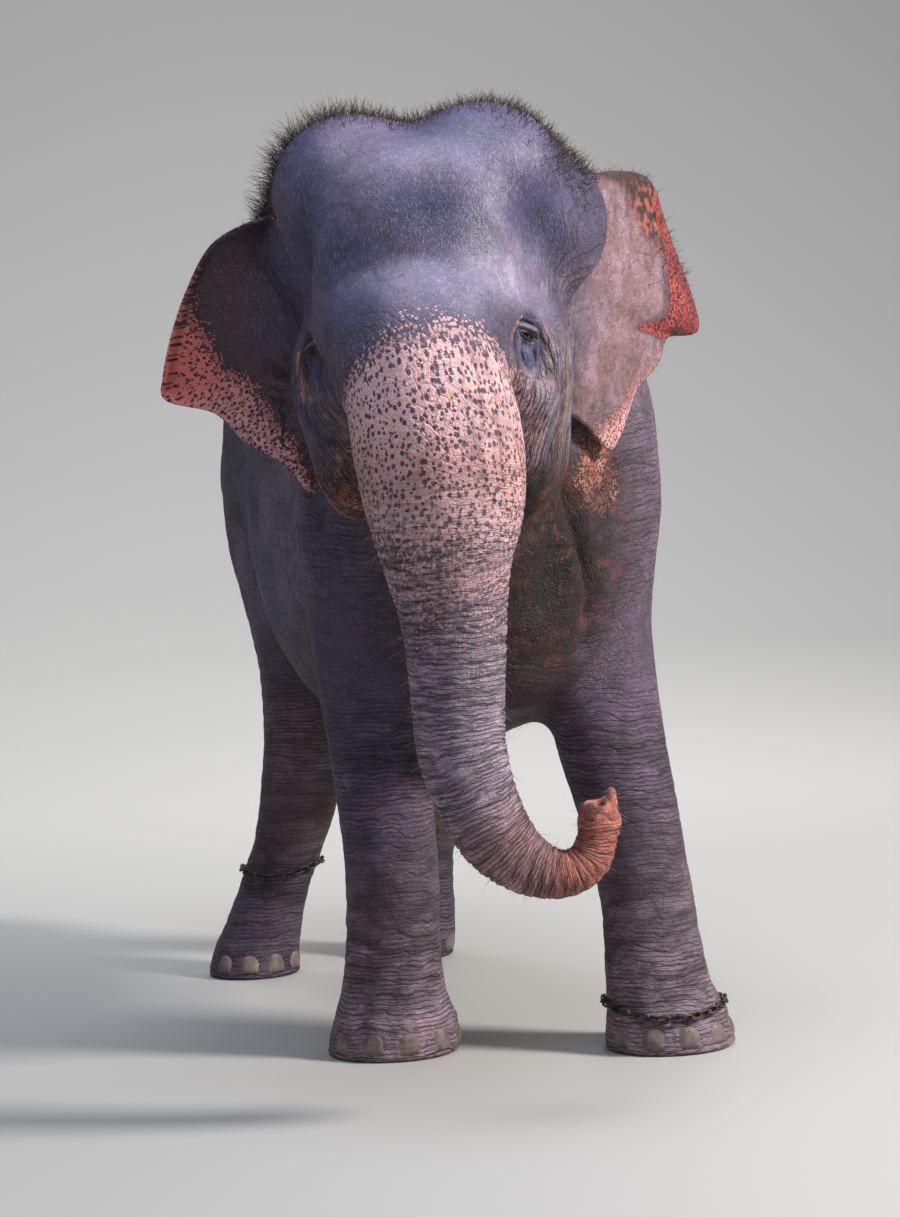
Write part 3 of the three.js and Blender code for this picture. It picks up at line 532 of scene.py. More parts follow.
def earPoints(side, u, v):  # middle surface at shares u across and v around
    s = sides[side]
    root = asFloat([fromHead(mirrored(s, p)) for p in rootLine])
    rim = rimLines[side]
    a, b = spline(root, v * (len(root) - 1)), spline(rim, v * (len(rim) - 1))
    bulge = 4 * u * (1 - u) * np.sin(np.pi * np.clip(v, 0.04, 0.96))
    p = mix(a, b, u[:, None]) + asFloat(ears["cup"][side]) * bulge[:, None]
    start, turn = ears["fold"][side]
    band = ramp(v, 0.16, 0.28) * (1 - ramp(v, 0.5, 0.56))
    p[:, 1] += turn * ramp(u, start, 1) * band
    wave = np.sin(v * 21 + 1.3 * s) * 0.6 + np.sin(v * 47 + u * 5) * 0.25 + np.sin(v * 9 - u * 6) * 0.5
    low, tip = ears["lobe"][side]
    p[:, 2] += low * 4 * u * (1 - u) * ramp(v, 0.82, 1)
    p = mix(p, mix(a, b, 0.80), (tip * ramp(v, 0.93, 1) * ramp(u, 0.80, 1))[:, None])
    p[:, 1] += ears["ripple"] * wave * ramp(u, 0.25, 1) * np.sin(np.pi * np.clip(v, 0, 1)) ** 0.5
    return p


def gridFaces(rows, columns, start=0, flip=False):
    j, i = (g.ravel() for g in np.meshgrid(np.arange(rows - 1), np.arange(columns - 1), indexing="ij"))
    a = start + j * columns + i
    faces = np.stack([a, a + 1, a + columns + 1, a + columns], 1)
    return faces[:, ::-1] if flip else faces


def sheetFaces(rows, columns):  # a sheet of points, the same sheet behind it, and the wall round both
    count = rows * columns
    rim = np.concatenate([
        np.arange(columns), np.arange(1, rows) * columns + columns - 1,
        (rows - 1) * columns + np.arange(columns - 2, -1, -1), np.arange(rows - 2, 0, -1) * columns])
    after = np.roll(rim, -1)
    wall = np.stack([rim, rim + count, after + count, after], 1)
    return np.concatenate([gridFaces(rows, columns), gridFaces(rows, columns, count, True), wall])


def earSheet(side):
    nu, nv = ears["across"] + 1, ears["around"] + 1
    v, u = (g.ravel() for g in np.meshgrid(np.linspace(0, 1, nv), np.linspace(0, 1, nu), indexing="ij"))
    e = 0.004
    p = earPoints(side, u, v)
    du = earPoints(side, np.minimum(u + e, 1), v) - earPoints(side, np.maximum(u - e, 0), v)
    dv = earPoints(side, u, np.minimum(v + e, 1)) - earPoints(side, u, np.maximum(v - e, 0))
    n = np.cross(du, dv)
    n /= lengthOf(n)[:, None]
    thick = mix(ears["root"], ears["rim"], u ** 0.7)
    thick = thick * np.sqrt(np.clip((1 - u) / 0.035, 0.12, 1))
    both = np.concatenate([p + n * thick[:, None], p - n * thick[:, None]])
    faces = sheetFaces(nv, nu)
    volume = (both[faces[:, 0]] * np.cross(both[faces[:, 1]], both[faces[:, 2]])).sum()
    return both, faces if volume > 0 else faces[:, ::-1], np.tile(np.stack([u, v], 1), (2, 1))


def markFaces(obj, value):
    layer = obj.data.attributes.new("source", "INT", "FACE")
    layer.data.foreach_set("value", np.full(len(obj.data.polygons), value, np.int32))


def applied(obj, kind, **settings):  # one modifier, applied
    modifier = obj.modifiers.new(kind.lower(), kind)
    for key, value in settings.items():
        setattr(modifier, key, value)
    done = bpy.data.meshes.new_from_object(obj.evaluated_get(bpy.context.evaluated_depsgraph_get()))
    obj.modifiers.clear()
    old, obj.data = obj.data, done
    bpy.data.meshes.remove(old)
    return obj


def readAll(items, name, width=1, kind=np.float32):  # one value of every vertex, edge or face
    out = np.empty(len(items) * width, kind)
    items.foreach_get(name, out)
    return out.reshape(-1, width) if width > 1 else out


def coords(obj):
    return readAll(obj.data.vertices, "co", 3).astype(float) * 1000 + origin


def setCoords(obj, p):
    obj.data.vertices.foreach_set("co", ((p - origin) / 1000).astype(np.float32).ravel())
    obj.data.update()


def normalsOf(obj):
    return readAll(obj.data.vertex_normals, "vector", 3).astype(float)


def joinEars(skin):
    markFaces(skin, 0)
    for number, side in enumerate(sides):
        p, faces, _ = earSheet(side)
        ear = meshObject(f"sheet_{side}", p, faces)
        markFaces(ear, number + 1)
        applied(skin, "BOOLEAN", operation="UNION", solver="MANIFOLD", object=ear)
        bpy.data.objects.remove(ear)
    mesh = skin.data
    source = readAll(mesh.attributes["source"].data, "value", kind=np.int32)
    kind = np.repeat(source, readAll(mesh.polygons, "loop_total", kind=np.int32))
    loops = readAll(mesh.loops, "vertex_index", kind=np.int32)
    n = len(mesh.vertices)
    onSkin, onEar = (np.bincount(loops, k, n) > 0 for k in ((kind == 0) * 1.0, (kind > 0) * 1.0))
    near = (onSkin & onEar).astype(float)
    edges = readAll(mesh.edges, "vertices", 2, np.int32)
    for _ in range(7):  # the seam spreads over its neighbours
        spread = near.copy()
        np.maximum.at(spread, edges[:, 0], near[edges[:, 1]] * 0.86)
        np.maximum.at(spread, edges[:, 1], near[edges[:, 0]] * 0.86)
        near = spread
    setCoords(skin, smoothed(coords(skin), edges, 14, 0.5, near))
    mesh.attributes.remove(mesh.attributes["source"])
    report(f"ears joined, {len(mesh.polygons)} faces")


# finer faces where one looks longest
finer = {"faceBack": 175.0, "faceLow": -470.0, "eyeReach": 66.0, "tipReach": 70.0}
headAxes = {"x": headTurn[:, 0], "y": headTurn[:, 1], "z": headTurn[:, 2]}


def eyeFrame(side):  # centre, and axes to the front, up and out of the lids
    low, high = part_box(f"eye_{side}")
    centre = (np.array(low) + np.array(high)) * 500 + origin
    s = sides[side]
    out = asFloat((s * 0.76, -0.64, -0.06)) @ headTurn.T
    out /= lengthOf(out)
    up = headAxes["z"] - out * (headAxes["z"] @ out)
    up /= lengthOf(up)
    fore = np.cross(up, out)
    if fore @ headAxes["y"] > 0:
        fore = -fore
    return centre, fore, up, out


def splitFaces(obj, chosen, times=1):  # where all the corners of a face are chosen
    for _ in range(times):
        flags = chosen(coords(obj))
        bm = bmesh.new()
        bm.from_mesh(obj.data)
        bm.verts.ensure_lookup_table()
        faces = [f for f in bm.faces if all(flags[v.index] for v in f.verts)]
        edges = list({e for f in faces for e in f.edges})
        bmesh.ops.subdivide_edges(bm, edges=edges, cuts=1, use_grid_fill=True)
        bm.to_mesh(obj.data)
        bm.free()
        report(f"split {len(faces)} faces")


def slopeOf(form, p, e=1.5):  # a form's value and its slope
    ways = np.array([[1, -1, -1], [-1, -1, 1], [-1, 1, -1], [1, 1, 1]]) * e
    vals = [inChunks(form, p + w) for w in ways]
    g = sum(w[None] * v[:, None] for w, v in zip(ways, vals)) / (4 * e * e)
    return sum(vals) / 4, g


def drawn(form, p, most=4.0, times=1):  # points moved onto the zero of a form
    for _ in range(times):
        d, g = slopeOf(form, p)
        step = np.clip(d / np.maximum((g * g).sum(1), 0.2), -most, most)
        p = p - g * step[:, None]
    return p


def faceZone(p):
    q = toHead(p)
    onHead = (np.abs(q[:, 0]) < 420) & (q[:, 1] < finer["faceBack"]) & (q[:, 2] > finer["faceLow"])
    near = np.zeros(len(p), bool)
    some = (p[:, 1] < -600) | onHead
    some &= p[:, 2] > 400
    near[some] = (inChunks(trunkTube, p[some]) < 14) | (onHead[some] & (inChunks(headField, p[some]) < 10))
    return near


def eyeZone(p):
    near = np.zeros(len(p), bool)
    for side in sides:
        centre, _, _, out = eyeFrame(side)
        near |= (lengthOf(p - centre) < finer["eyeReach"]) & ((p - centre) @ out > -6)
    return near


points, quads = grownSkin(skinMesh)
skin = meshObject("skin", points, quads)
joinEars(skin)
splitFaces(skin, faceZone)
splitFaces(skin, eyeZone, 2)
p = coords(skin)
zone = faceZone(p)
q = p[zone]
d = inChunks(skinForm, q)
soft = np.abs(d) < 2.5
q[soft] = drawn(skinForm, q[soft])
p[zone] = q
setCoords(skin, p)
report(f"{soft.sum()} points drawn onto the form, {len(skin.data.polygons)} faces")

def alongTrunk(p):  # length along the trunk, and place to its left and ahead of its middle
    path, _, run = curveThrough(trunkLine)
    path, run = path[::3], run[::3]
    way = np.gradient(path, axis=0)
    way /= lengthOf(way)[:, None]
    ahead = np.array([0.0, -1.0, 0.0]) - way * -way[:, 1:2]
    ahead /= lengthOf(ahead)[:, None]
    aside = np.cross(ahead, way)
    near = np.empty(len(p), int)
    for i in range(0, len(p), 20000):
        near[i:i + 20000] = ((path ** 2).sum(1) - 2 * p[i:i + 20000] @ path.T).argmin(1)
    o = p - path[near]
    along, left, front = (o * way[near]).sum(1), (o * aside[near]).sum(1), (o * ahead[near]).sum(1)
    return run[near] + along, left, front


def places(p):  # where each point is: shares of trunk, legs, head, and the straightened place
    out = {}
    d = np.full(len(p), 1e3)
    some = (p[:, 1] < -520) & (p[:, 2] < 1720)
    d[some] = inChunks(trunkField, p[some])
    out["trunk"] = ramp(-p[:, 2], -1560, -1330) * ramp(-d, -26, -12)
    along, left, front = alongTrunk(p)
    knee = float(np.interp(1397, trunkRows[::-1, 2][-20:], trunkRuns[::-1][-20:]))
    straight = np.stack([-333 + left, -852 - front, 1397 - (along - knee)], 1)
    out["along"], out["round"], out["left"], out["front"] = along, np.arctan2(left, front), left, front
    out["flow"] = mix(p, straight, out["trunk"][:, None])
    d = np.full(len(p), 1e3)
    low = p[:, 2] < 1350
    for rows in legLines.values():
        d[low] = np.minimum(d[low], inChunks(tube(rows), p[low]))
    out["leg"] = ramp(-p[:, 2], -1250, -850) * ramp(-d, -60, -20) * (1 - out["trunk"])
    q = toHead(p)
    onHead = ramp(-q[:, 1], -330, -180) * ramp(q[:, 2], -520, -400)
    out["head"] = onHead * (1 - out["trunk"])
    out["local"] = q
    return out


eyes = {
    "ball": 23.0, "lid": 27.6, "half": 21.0, "upper": 2.2, "lower": 7.0, "tilt": 24.0,
    "hood": (16.0, 6.5, 6.8), "overLid": ((27.0, 6.0, 2.8), (40.0, 2.6, 3.4)),  # out, deep, wide
    "underLid": ((7.0, 2.0, 1.8),),
    "sacks": ((2.0, -44.0, 23.0, 35.0, 8.0, 4.6), (0.0, -100.0, 24.0, 22.0, 5.0, 3.0)),  # at, reach, high, deep
    "spokes": ((-13.0, 40.0, 12.0), (2.0, 46.0, 15.0), (15.0, 38.0, 12.0)),
    "fall": ((-30.0, 16.0), (-34.0, -20.0), (-29.0, -64.0)),
}


def slit(a, b):  # distance to the opening of the lids, negative inside
    t = math.radians(eyes["tilt"])
    a, b = a * math.cos(t) + b * math.sin(t), b * math.cos(t) - a * math.sin(t)
    h = eyes["half"]
    far = []
    for sag, s in ((eyes["upper"], 1), (eyes["lower"], -1)):
        r = (h * h + sag * sag) / (2 * sag)
        far.append(np.sqrt(a * a + (s * b + r - sag) ** 2) - r)
    return np.maximum(*far), b


def eyeShapes(side, p):  # how far out each point of the lids goes, its opening distance and its place
    centre, fore, up, out = eyeFrame(side)
    q = p - centre
    a, b, c = q @ fore, q @ up, q @ out
    r = np.sqrt(a * a + b * b)
    near = (r < 124) & (c > -60) & (c < 90)
    e, over = slit(a, b)
    lid = np.where(r < eyes["lid"], np.sqrt(np.maximum(eyes["lid"] ** 2 - r * r, 0)), (eyes["lid"] - r) * 2)
    tall = -blend(-c, -lid, 9.0)
    wave = 5.0 * (noise(p, 34, 3) - 0.5) + 0.10 * a
    upper, lower = ramp(over, -5, 6), 1 - ramp(over, -5, 6)
    far, high, wide = eyes["hood"]
    tall += high * bump(e - far + 0.12 * a, wide) * upper * ramp(44 - np.abs(a + 2), 0, 22)
    tall -= 2.6 * bump(e - 5.5, 3.2) * upper
    for k, (far, deep, wide) in enumerate(eyes["overLid"]):
        broken = specks(p, 34, 14 + k, 0.28, 0.5) if k else 1.0
        end = ramp(30 + far * 0.5 - np.abs(a + 3), 0, 20)
        tall -= deep * bump(e - far + 0.12 * a + wave * k, wide) * upper * broken * end
    for at, high, wide in eyes["spokes"]:
        tall -= 1.8 * bump(a - at - 0.25 * (b - high), 1.8) * bump(b - high, wide)
    for far, deep, wide in eyes["underLid"]:
        tall -= deep * bump(e - far + 0.4 * wave, wide) * lower * ramp(34 + far - np.abs(a), 0, 26)
    fall = farFrom(np.stack([a, b], 1), pathOf(eyes["fall"], 24)).min(1)
    tall += 4.2 * bump(fall, 6.5) - 2.6 * bump(fall - 11, 3.0) * (a < -34)
    tall += 1.3 * bump(e - 2.4, 1.7)
    for x, y, wide, long, high, deep in eyes["sacks"]:
        sack = np.sqrt(((a - x) / wide) ** 2 + ((b - y) / long) ** 2) + 0.5 * (noise(p, 30, 5) - 0.5)
        tall += high * (1 - ramp(sack, 0.2, 1.05)) * ramp(e, 2, 9)
        tall -= deep * bump(sack - 1.05, 0.12) * ramp(y + long * 0.5 - b, 0, 14) * specks(p, 34, 6, 0.2, 0.45)
    tall = mix(tall, -7.0, ramp(-e, -0.2, 2.6))
    move = (tall - c) * ramp(122 - r, 0, 30) * near
    return move, np.where(near, e, 99.0), a, b


def socket(p):  # 1 on the lids and the sacks below them
    share = np.zeros(len(p))
    for side in sides:
        centre, fore, up, _ = eyeFrame(side)
        o = p - centre
        a, b = o @ fore, o @ up
        here = 1 - ramp(np.sqrt((a / 44) ** 2 + ((b + 26) / 84) ** 2), 0.75, 1.15)
        share = np.maximum(share, here * (lengthOf(o) < 140))
    return share


browBumps = (  # head frame: middle, reach, how far out
    ((62, -200, 305), (80, 130, 84), -17), ((62, -260, 130), (140, 120, 60), 9),
    ((278, -20, 262), (52, 95, 84), -14), ((-248, -40, 240), (46, 90, 84), -10),
    ((60, -190, 425), (150, 90, 50), 6), ((318, 70, 40), (40, 80, 60), 7),
)
browRidges = (  # head frame: path, width, height
    (((168, -146, 330), (196, -128, 268), (226, -88, 214), (258, -8, 164), (283, 52, 118)), 27, 9),
    (((-118, -165, 345), (-160, -172, 262), (-200, -150, 188), (-246, -86, 112)), 28, 8),
)


def browForms(q):
    push = np.zeros(len(q))
    for middle, reach, far in browBumps:
        push += far * blob(q, middle, reach)
    for path, wide, high in browRidges:
        line = pathOf(path, 40)
        near = ((q > line.min(0) - 70) & (q < line.max(0) + 70)).all(1)
        d = farFrom(q[near], line)
        end = d.argmin(1) / 39
        push[near] += high * bump(d.min(1), wide) * ramp(end, 0, 0.45) * ramp(1 - end, 0, 0.2)
    return push


def rootFar(q):  # distance to the root of the nearer ear, for places before it
    far = np.full(len(q), 400.0)
    for s in (-1, 1):
        path = pathOf([mirrored(s, r) for r in rootLine], 50)
        near = (q[:, 0] * s > 120) & (q[:, 1] > -220) & (q[:, 1] < path[:, 1].max() + 20) & (q[:, 2] > -420)
        far[near] = farFrom(q[near], path).min(1)
    return far


def rootFolds(q):  # folds in front of each ear, along its root
    far = rootFar(q) + 10 * (noise(q, 70, 8) - 0.5)
    deep = np.zeros(len(q))
    for at, most, width in ((18, 4.2, 5), (37, 3.2, 4.6), (55, 2.8, 4.6), (74, 2.2, 4.8), (97, 1.6, 5)):
        deep = np.maximum(deep, most * bump(far - at, width) * specks(q, (90, 90, 80), 9 + at, 0.2, 0.5))
    return 0.62 * deep * ramp(360 - q[:, 2], 0, 90)


armpit = {
    "path": ((98, -400, 1392), (128, -372, 1310), (148, -352, 1258), (172, -300, 1180), (184, -262, 1100),
             (182, -236, 1000)),
    "middle": (146, 1262),  # x and z of the place that the fine folds run out from
    "deep": 20.0, "wide": 30.0, "hollow": ((48, -400, 1240), (78, 90, 190), -26),
    "swell": (((248, -250, 1210), (82, 90, 120), 12), ((168, -380, 1430), (70, 80, 60), 8)),
}


def armpitFolds(p):
    push = np.zeros(len(p))
    near = ((p > [-60, -520, 880]) & (p < [380, -120, 1520])).all(1)
    q = p[near]
    d = farFrom(q, pathOf(armpit["path"], 50)).min(1) + 8 * (noise(q, 60, 90) - 0.5)
    swell = -armpit["deep"] * bump(d, armpit["wide"]) - 8 * bump(d, 9)
    for middle, reach, far in (armpit["hollow"], *armpit["swell"]):
        swell += far * blob(q, middle, reach)
    x, z = armpit["middle"]
    turn = np.arctan2(q[:, 2] - z, q[:, 0] - x) + 0.9 * (noise(q, 110, 91) - 0.5)
    out = np.hypot(q[:, 2] - z, q[:, 0] - x)
    swell -= 4.5 * np.clip(np.sin(turn * 9), 0, 1) ** 3 * bump(out - 55, 45)
    push[near] = swell
    return push


foldSpec = {
    "trunk": {"spacing": (42.0, 20.0), "deep": 4.2, "width": (4.8, 3.2)},
    "wrist": {"z": 300.0, "half": 190.0, "deep": 3.0},
    "elbow": {"z": 700.0, "half": 200.0, "deep": 1.8},
}


def trunkRings(where):
    spec = foldSpec["trunk"]
    length = trunkRuns[-1]
    t = np.clip(where["along"] / length, 0, 1)
    first, last = spec["spacing"]
    phase = length * np.log(mix(1.0, last / first, t)) / (last - first)
    width, gap = mix(*spec["width"], t), mix(first, last, t)
    flow, turn = where["flow"], where["round"]
    deep = np.zeros(len(t))
    for k, (slant, share) in enumerate(((0.0, 1.0), (0.34, 0.75), (-0.38, 0.75))):
        lay = phase + slant * np.sin(turn) * 2.4 + 0.85 * (noise(flow, (95, 95, 60), 20 + k) - 0.5) + 0.33 * k
        off = (lay - np.round(lay)) * gap
        gate = specks(flow, (75, 75, 30), 30 + k, 0.30 + 0.1 * (k > 0), 0.62)
        deep = np.maximum(deep, share * bump(off, width) * gate)
    side = mix(0.55, 1.0, ramp(np.abs(turn), 0.5, 1.4))
    return spec["deep"] * deep * side * ramp(-where["flow"][:, 2], -1480, -1240)


toes = []  # the middle of each nail and the way it faces
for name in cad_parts:
    if "_nail_" in name:
        low, high = (np.array(v) * 1000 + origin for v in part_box(name))
        foot = legLines[name[:name.index("_nail")]][0]
        middle = (low + high) / 2
        way = middle[:2] - np.array(foot[:2])
        way = np.append(way / lengthOf(way), 0)
        toes.append({"name": name, "at": middle, "way": way, "high": high[2] - low[2]})


def footShapes(p):
    push = np.zeros(len(p))
    low = p[:, 2] < 260
    q, add = p[low], np.zeros(low.sum())
    for toe in toes:
        o = q - toe["at"]
        side = np.array([-toe["way"][1], toe["way"][0], 0])
        a, up, far = o @ side, o[:, 2], o @ toe["way"]
        here = ramp(70 - np.abs(far), 0, 30)
        rim = np.sqrt((a / 27) ** 2 + ((up - 6) / (toe["high"] * 0.62)) ** 2)
        add += here * (5.0 * bump(a, 30) * bump(up - toe["high"] * 0.75, 24) + 2.2 * bump(rim - 1.18, 0.16))
        add -= here * 2.4 * bump(rim - 0.98, 0.08)
    add -= 2.2 * bump(q[:, 2] - 17 - 4 * noise(q, 50, 41), 3.5) * ramp(q[:, 2], 6, 14)
    push[low] = add
    return push


def sculpted(p, n):  # moved points, with how creased each one is
    where = places(p)
    flow, q, leg, trunk, onHead = where["flow"], where["local"], where["leg"], where["trunk"], where["head"]
    (_, y, z), (headX, _, headZ) = p.T, q.T
    body = (1 - trunk) * (1 - onHead) * (1 - leg)
    ear = ramp(-inChunks(flesh, p), -34, -14)  # 1 on the body, 0 out on the ears
    soft = 5.0 * (noise(p, 170, 1) - 0.5) + 3.0 * (noise(p, 78, 2) - 0.5)
    push = soft * (body + 0.7 * leg) + onHead * 2.2 * (noise(p, 70, 4) - 0.5)
    push += armpitFolds(p) * (1 - trunk) + browForms(q) * onHead
    deep = trunkRings(where) * trunk

    hang = flow + [0, 0, 26] * noise(flow, (120, 120, 200), 12)[:, None]
    for spec, seed in ((foldSpec["wrist"], 50), (foldSpec["elbow"], 55)):
        share = leg * bump(z - spec["z"], spec["half"])
        deep = deep + spec["deep"] * share * np.maximum(
            lines(hang, (170, 170, 42), seed, 4.6), 0.7 * lines(hang, (110, 110, 25), seed + 1, 3.6))
    deep += leg * 1.3 * lines(hang, (90, 90, 34), 60, 3.8) * specks(p, 130, 61, 0.3, 0.6)
    deep += body * 1.6 * lines(p, (130, 130, 62), 62, 5) * specks(p, 260, 63, 0.25, 0.6)
    deep += body * 1.0 * lines(p, (70, 70, 40), 64, 4)
    shoulder = body * ramp(-y, 100, 260) * ramp(z, 950, 1080)
    deep += shoulder * 2.4 * lines(hang, (130, 130, 44), 66, 4.4)
    throat = ramp(-headZ, 250, 380) * ramp(z, 1050, 1150) * (1 - trunk) * ramp(-y, 180, 320)
    deep += throat * 3.4 * lines(p, (70, 90, 130), 68, 4.6)
    cheek = onHead * ramp(np.abs(headX), 110, 170) * ramp(-headZ, -40, 60) * (1 - socket(p))
    deep += cheek * 1.8 * lines(p, (34, 34, 130), 70, 3.4) + cheek * 0.8 * lines(p, (44, 44, 26), 71, 2.6)
    deep += onHead * 0.8 * lines(p, (90, 90, 60), 72, 3.2) * specks(p, 120, 73, 0.45, 0.7)
    deep += rootFolds(q)
    push += footShapes(p)
    # how deep each point is pressed into a fold, which the paint darkens as painted shade
    crease = np.clip(deep / 3.0, 0, 1) * ear
    p = p + n * ((push - deep) * ear * ramp(z, 3, 12))[:, None]
    for side in sides:
        p = p + eyeFrame(side)[3] * eyeShapes(side, p)[0][:, None]
    return p, crease


p = coords(skin)
p, creased = sculpted(p, normalsOf(skin))
setCoords(skin, p)
report("folds pressed")


class Wire:  # a socket, for shader maths as expressions
    def __init__(self, paint, socket):
        self.paint, self.socket = paint, socket

    def math(self, kind, *values):
        return self.paint.node("ShaderNodeMath", {"operation": kind}, dict(enumerate(values or (self,))))

    def __add__(self, b):
        return self.math("ADD", self, b)

    def __sub__(self, b):
        return self.math("SUBTRACT", self, b)

    def __rsub__(self, b):
        return self.math("SUBTRACT", b, self)

    def __mul__(self, b):
        return self.math("MULTIPLY", self, b)

    def ramp(self, low, high, a=0.0, b=1.0):  # a below low, b above high, smooth between
        return self.paint.node("ShaderNodeMapRange", {"interpolation_type": "SMOOTHSTEP"},
                               {"Value": self, "From Min": low, "From Max": high, "To Min": a, "To Max": b})

    def most(self, b):
        return self.math("MAXIMUM", self, b)


class Paint:
    def __init__(self, name):
        self.material = bpy.data.materials.new(name)
        self.material.use_nodes = True
        self.tree = self.material.node_tree
        self.shader = self.tree.nodes["Principled BSDF"]

    def node(self, kind, settings=None, inputs=None, out=0):
        made = self.tree.nodes.new(kind)
        for key, value in (settings or {}).items():
            setattr(made, key, value)
        for key, value in (inputs or {}).items():
            self.feed(made.inputs[key], value)
        return Wire(self, made.outputs[out])

    def feed(self, socket, value):
        if isinstance(value, Wire):
            self.tree.links.new(value.socket, socket)
        elif hasattr(value, "__len__") and len(value) == 3 and socket.type == "RGBA":
            socket.default_value = (*value, 1)
        else:
            socket.default_value = value

    def mixed(self, share, a, b, kind="MIX"):  # colours
        return self.node("ShaderNodeMix", {"data_type": "RGBA", "blend_type": kind}, {0: share, 6: a, 7: b}, out=2)

    def vector(self, kind, *values):
        inputs = {0: values[0], 3: values[1]} if kind == "SCALE" else dict(enumerate(values))
        return self.node("ShaderNodeVectorMath", {"operation": kind}, inputs)

    def drawnValue(self, name, out=2):  # a value stored on the mesh
        return self.node("ShaderNodeAttribute", {"attribute_name": name}, out=out)

    def three(self, name):  # the three numbers of a stored vector
        return self.parts("ShaderNodeSeparateXYZ", self.drawnValue(name, 1))

    def noise(self, at, scale, detail=2.0, rough=0.5, out=0):
        return self.node("ShaderNodeTexNoise", {}, {
            "Vector": at, "Scale": scale, "Detail": detail, "Roughness": rough}, out)

    def cracks(self, at, spec):  # 1 on the edges between cells
        cells = self.node("ShaderNodeTexVoronoi", {"feature": "DISTANCE_TO_EDGE"},
                          {"Vector": at, "Scale": spec["scale"]})
        return 1 - cells.ramp(0.0, spec["width"])

    def dots(self, at, scale, **more):  # distance to the nearest dot, and two numbers of its own
        cells = self.node("ShaderNodeTexVoronoi", {"feature": "F1", "voronoi_dimensions": "2D"},
                          {"Vector": at, "Scale": scale, **more})
        return cells, *self.parts("ShaderNodeSeparateColor", Wire(self, cells.socket.node.outputs[1]))[:2]

    def parts(self, kind, whole):
        return [Wire(self, socket) for socket in self.node(kind, {}, {0: whole}).socket.node.outputs]

    def bumped(self, height):  # in metres
        return self.node("ShaderNodeBump", {}, {"Height": height, "Strength": 1.0, "Distance": 1.0})

    def finish(self, **inputs):
        for key, value in inputs.items():
            self.feed(self.shader.inputs[key.replace("_", " ")], value)
        return self.material


def tone(r, g, b):  # screen colour to light
    return tuple(((c / 255 + 0.055) / 1.055) ** 2.4 if c > 10 else c / 3295 for c in (r, g, b))


# where the skin is slate, brown, rusty or pink, worked out from the animal's own places, with tones that also paint
# shade and light
# the dark blue tone (42, 45, 85) is painted shade; pit, ink and umber also paint shade, the pale and dusty tones also
# paint highlights, and the light red tone (246, 132, 120) paints light on the ear's pink
tones = {
    "slate": tone(62, 64, 92), "mauve": tone(90, 72, 90), "brown": tone(80, 58, 58), "dustAndHighlight": tone(148, 126, 138),
    "pale": tone(200, 188, 206), "rust": tone(146, 74, 50), "pink": tone(216, 172, 176), "peach": tone(234, 174, 140),
    "ink": tone(28, 18, 22), "blood": tone(196, 78, 76), "ember": tone(206, 118, 92), "umber": tone(44, 27, 24),
    "tan": tone(204, 152, 122), "shadeBlue": tone(42, 45, 85), "fawn": tone(126, 96, 98),
    "pit": tone(26, 14, 12), "coral": tone(178, 70, 66), "clay": tone(200, 108, 76), "sand": tone(206, 142, 108),
    "liver": tone(140, 46, 48), "salmonLit": tone(246, 132, 120),
}


def store(obj, name, values):
    values = np.asarray(values, np.float32)
    kind = "FLOAT" if values.ndim == 1 else "FLOAT_VECTOR"
    layer = obj.data.attributes.new(name, kind, "POINT")
    layer.data.foreach_set("value" if values.ndim == 1 else "vector", values.ravel())


def earPlaces(p, n):  # share across and around the ear, and how much each point is on its front
    across, around, front, onEar = (np.zeros(len(p)) for _ in range(4))
    for side in sides:
        sheet, _, uv = earSheet(side)
        tree = KDTree(len(sheet))
        for i, v in enumerate(sheet):
            tree.insert(v, i)
        tree.balance()
        low, high = sheet.min(0) - 10, sheet.max(0) + 10
        index = np.flatnonzero(((p > low) & (p < high)).all(1))
        found = [tree.find(v)[1:] for v in p[index]]
        which, far = np.array([f[0] for f in found]), np.array([f[1] for f in found])
        near = far < 16
        index, which, far = index[near], which[near], far[near]
        across[index], around[index] = uv[which].T
        onEar[index] = 1 - far / 16
        face = -(n[index] @ headAxes["y"])
        front[index] = ramp(face, -0.35, 0.15)
    return across, around, front, ramp(onEar, 0, 0.3) * ramp(across, 0.02, 0.16)


pinkMaps = {  # head frame: height of the top edge by x, and the back edge by z, on each side
    "top": ([-200, -165, -132, -90, -49, -15, 40, 94, 130, 172, 208, 235],
            [-260, -160, -82, -40, -2, 42, 54, 46, 32, 14, -14, -90]),
    "leftBack": ([-400, -187, -75, 14], [-10, -40, -113, -270]),
    "rightBack": ([-400, -225, -156, -82], [-20, -30, -83, -290]),
    "down": ([700, 860, 1000, 1120, 1220, 1330, 1430, 1560], [-0.60, -0.40, -0.20, -0.02, 0.20, 0.50, 0.74, 0.88]),
    "rightEar": ([0, 0.20, 0.26, 0.36, 0.44, 0.5, 0.62, 0.72, 0.8, 0.88, 1],
                 [0.0, 0.0, 0.07, 0.22, 0.38, 0.42, 0.40, 0.31, 0.18, 0.0, -0.2]),
    "leftEar": ([0, 0.3, 0.44, 0.5, 0.6, 0.72, 0.82, 0.92, 1],
                [-0.1, -0.05, 0.02, 0.03, 0.06, 0.14, 0.36, 0.24, -0.3]),
}


middleX = head["at"][0]  # parts the left ear from the right one


def flapShare(across, around):  # the part of the left ear that is turned over
    edge = np.interp(around, [0.14, 0.24, 0.36, 0.50, 0.56], [1.0, 0.82, 0.70, 0.60, 0.60])
    return ramp(across - edge, -0.008, 0.012) * ramp(around, 0.14, 0.2) * (1 - ramp(around, 0.545, 0.565))


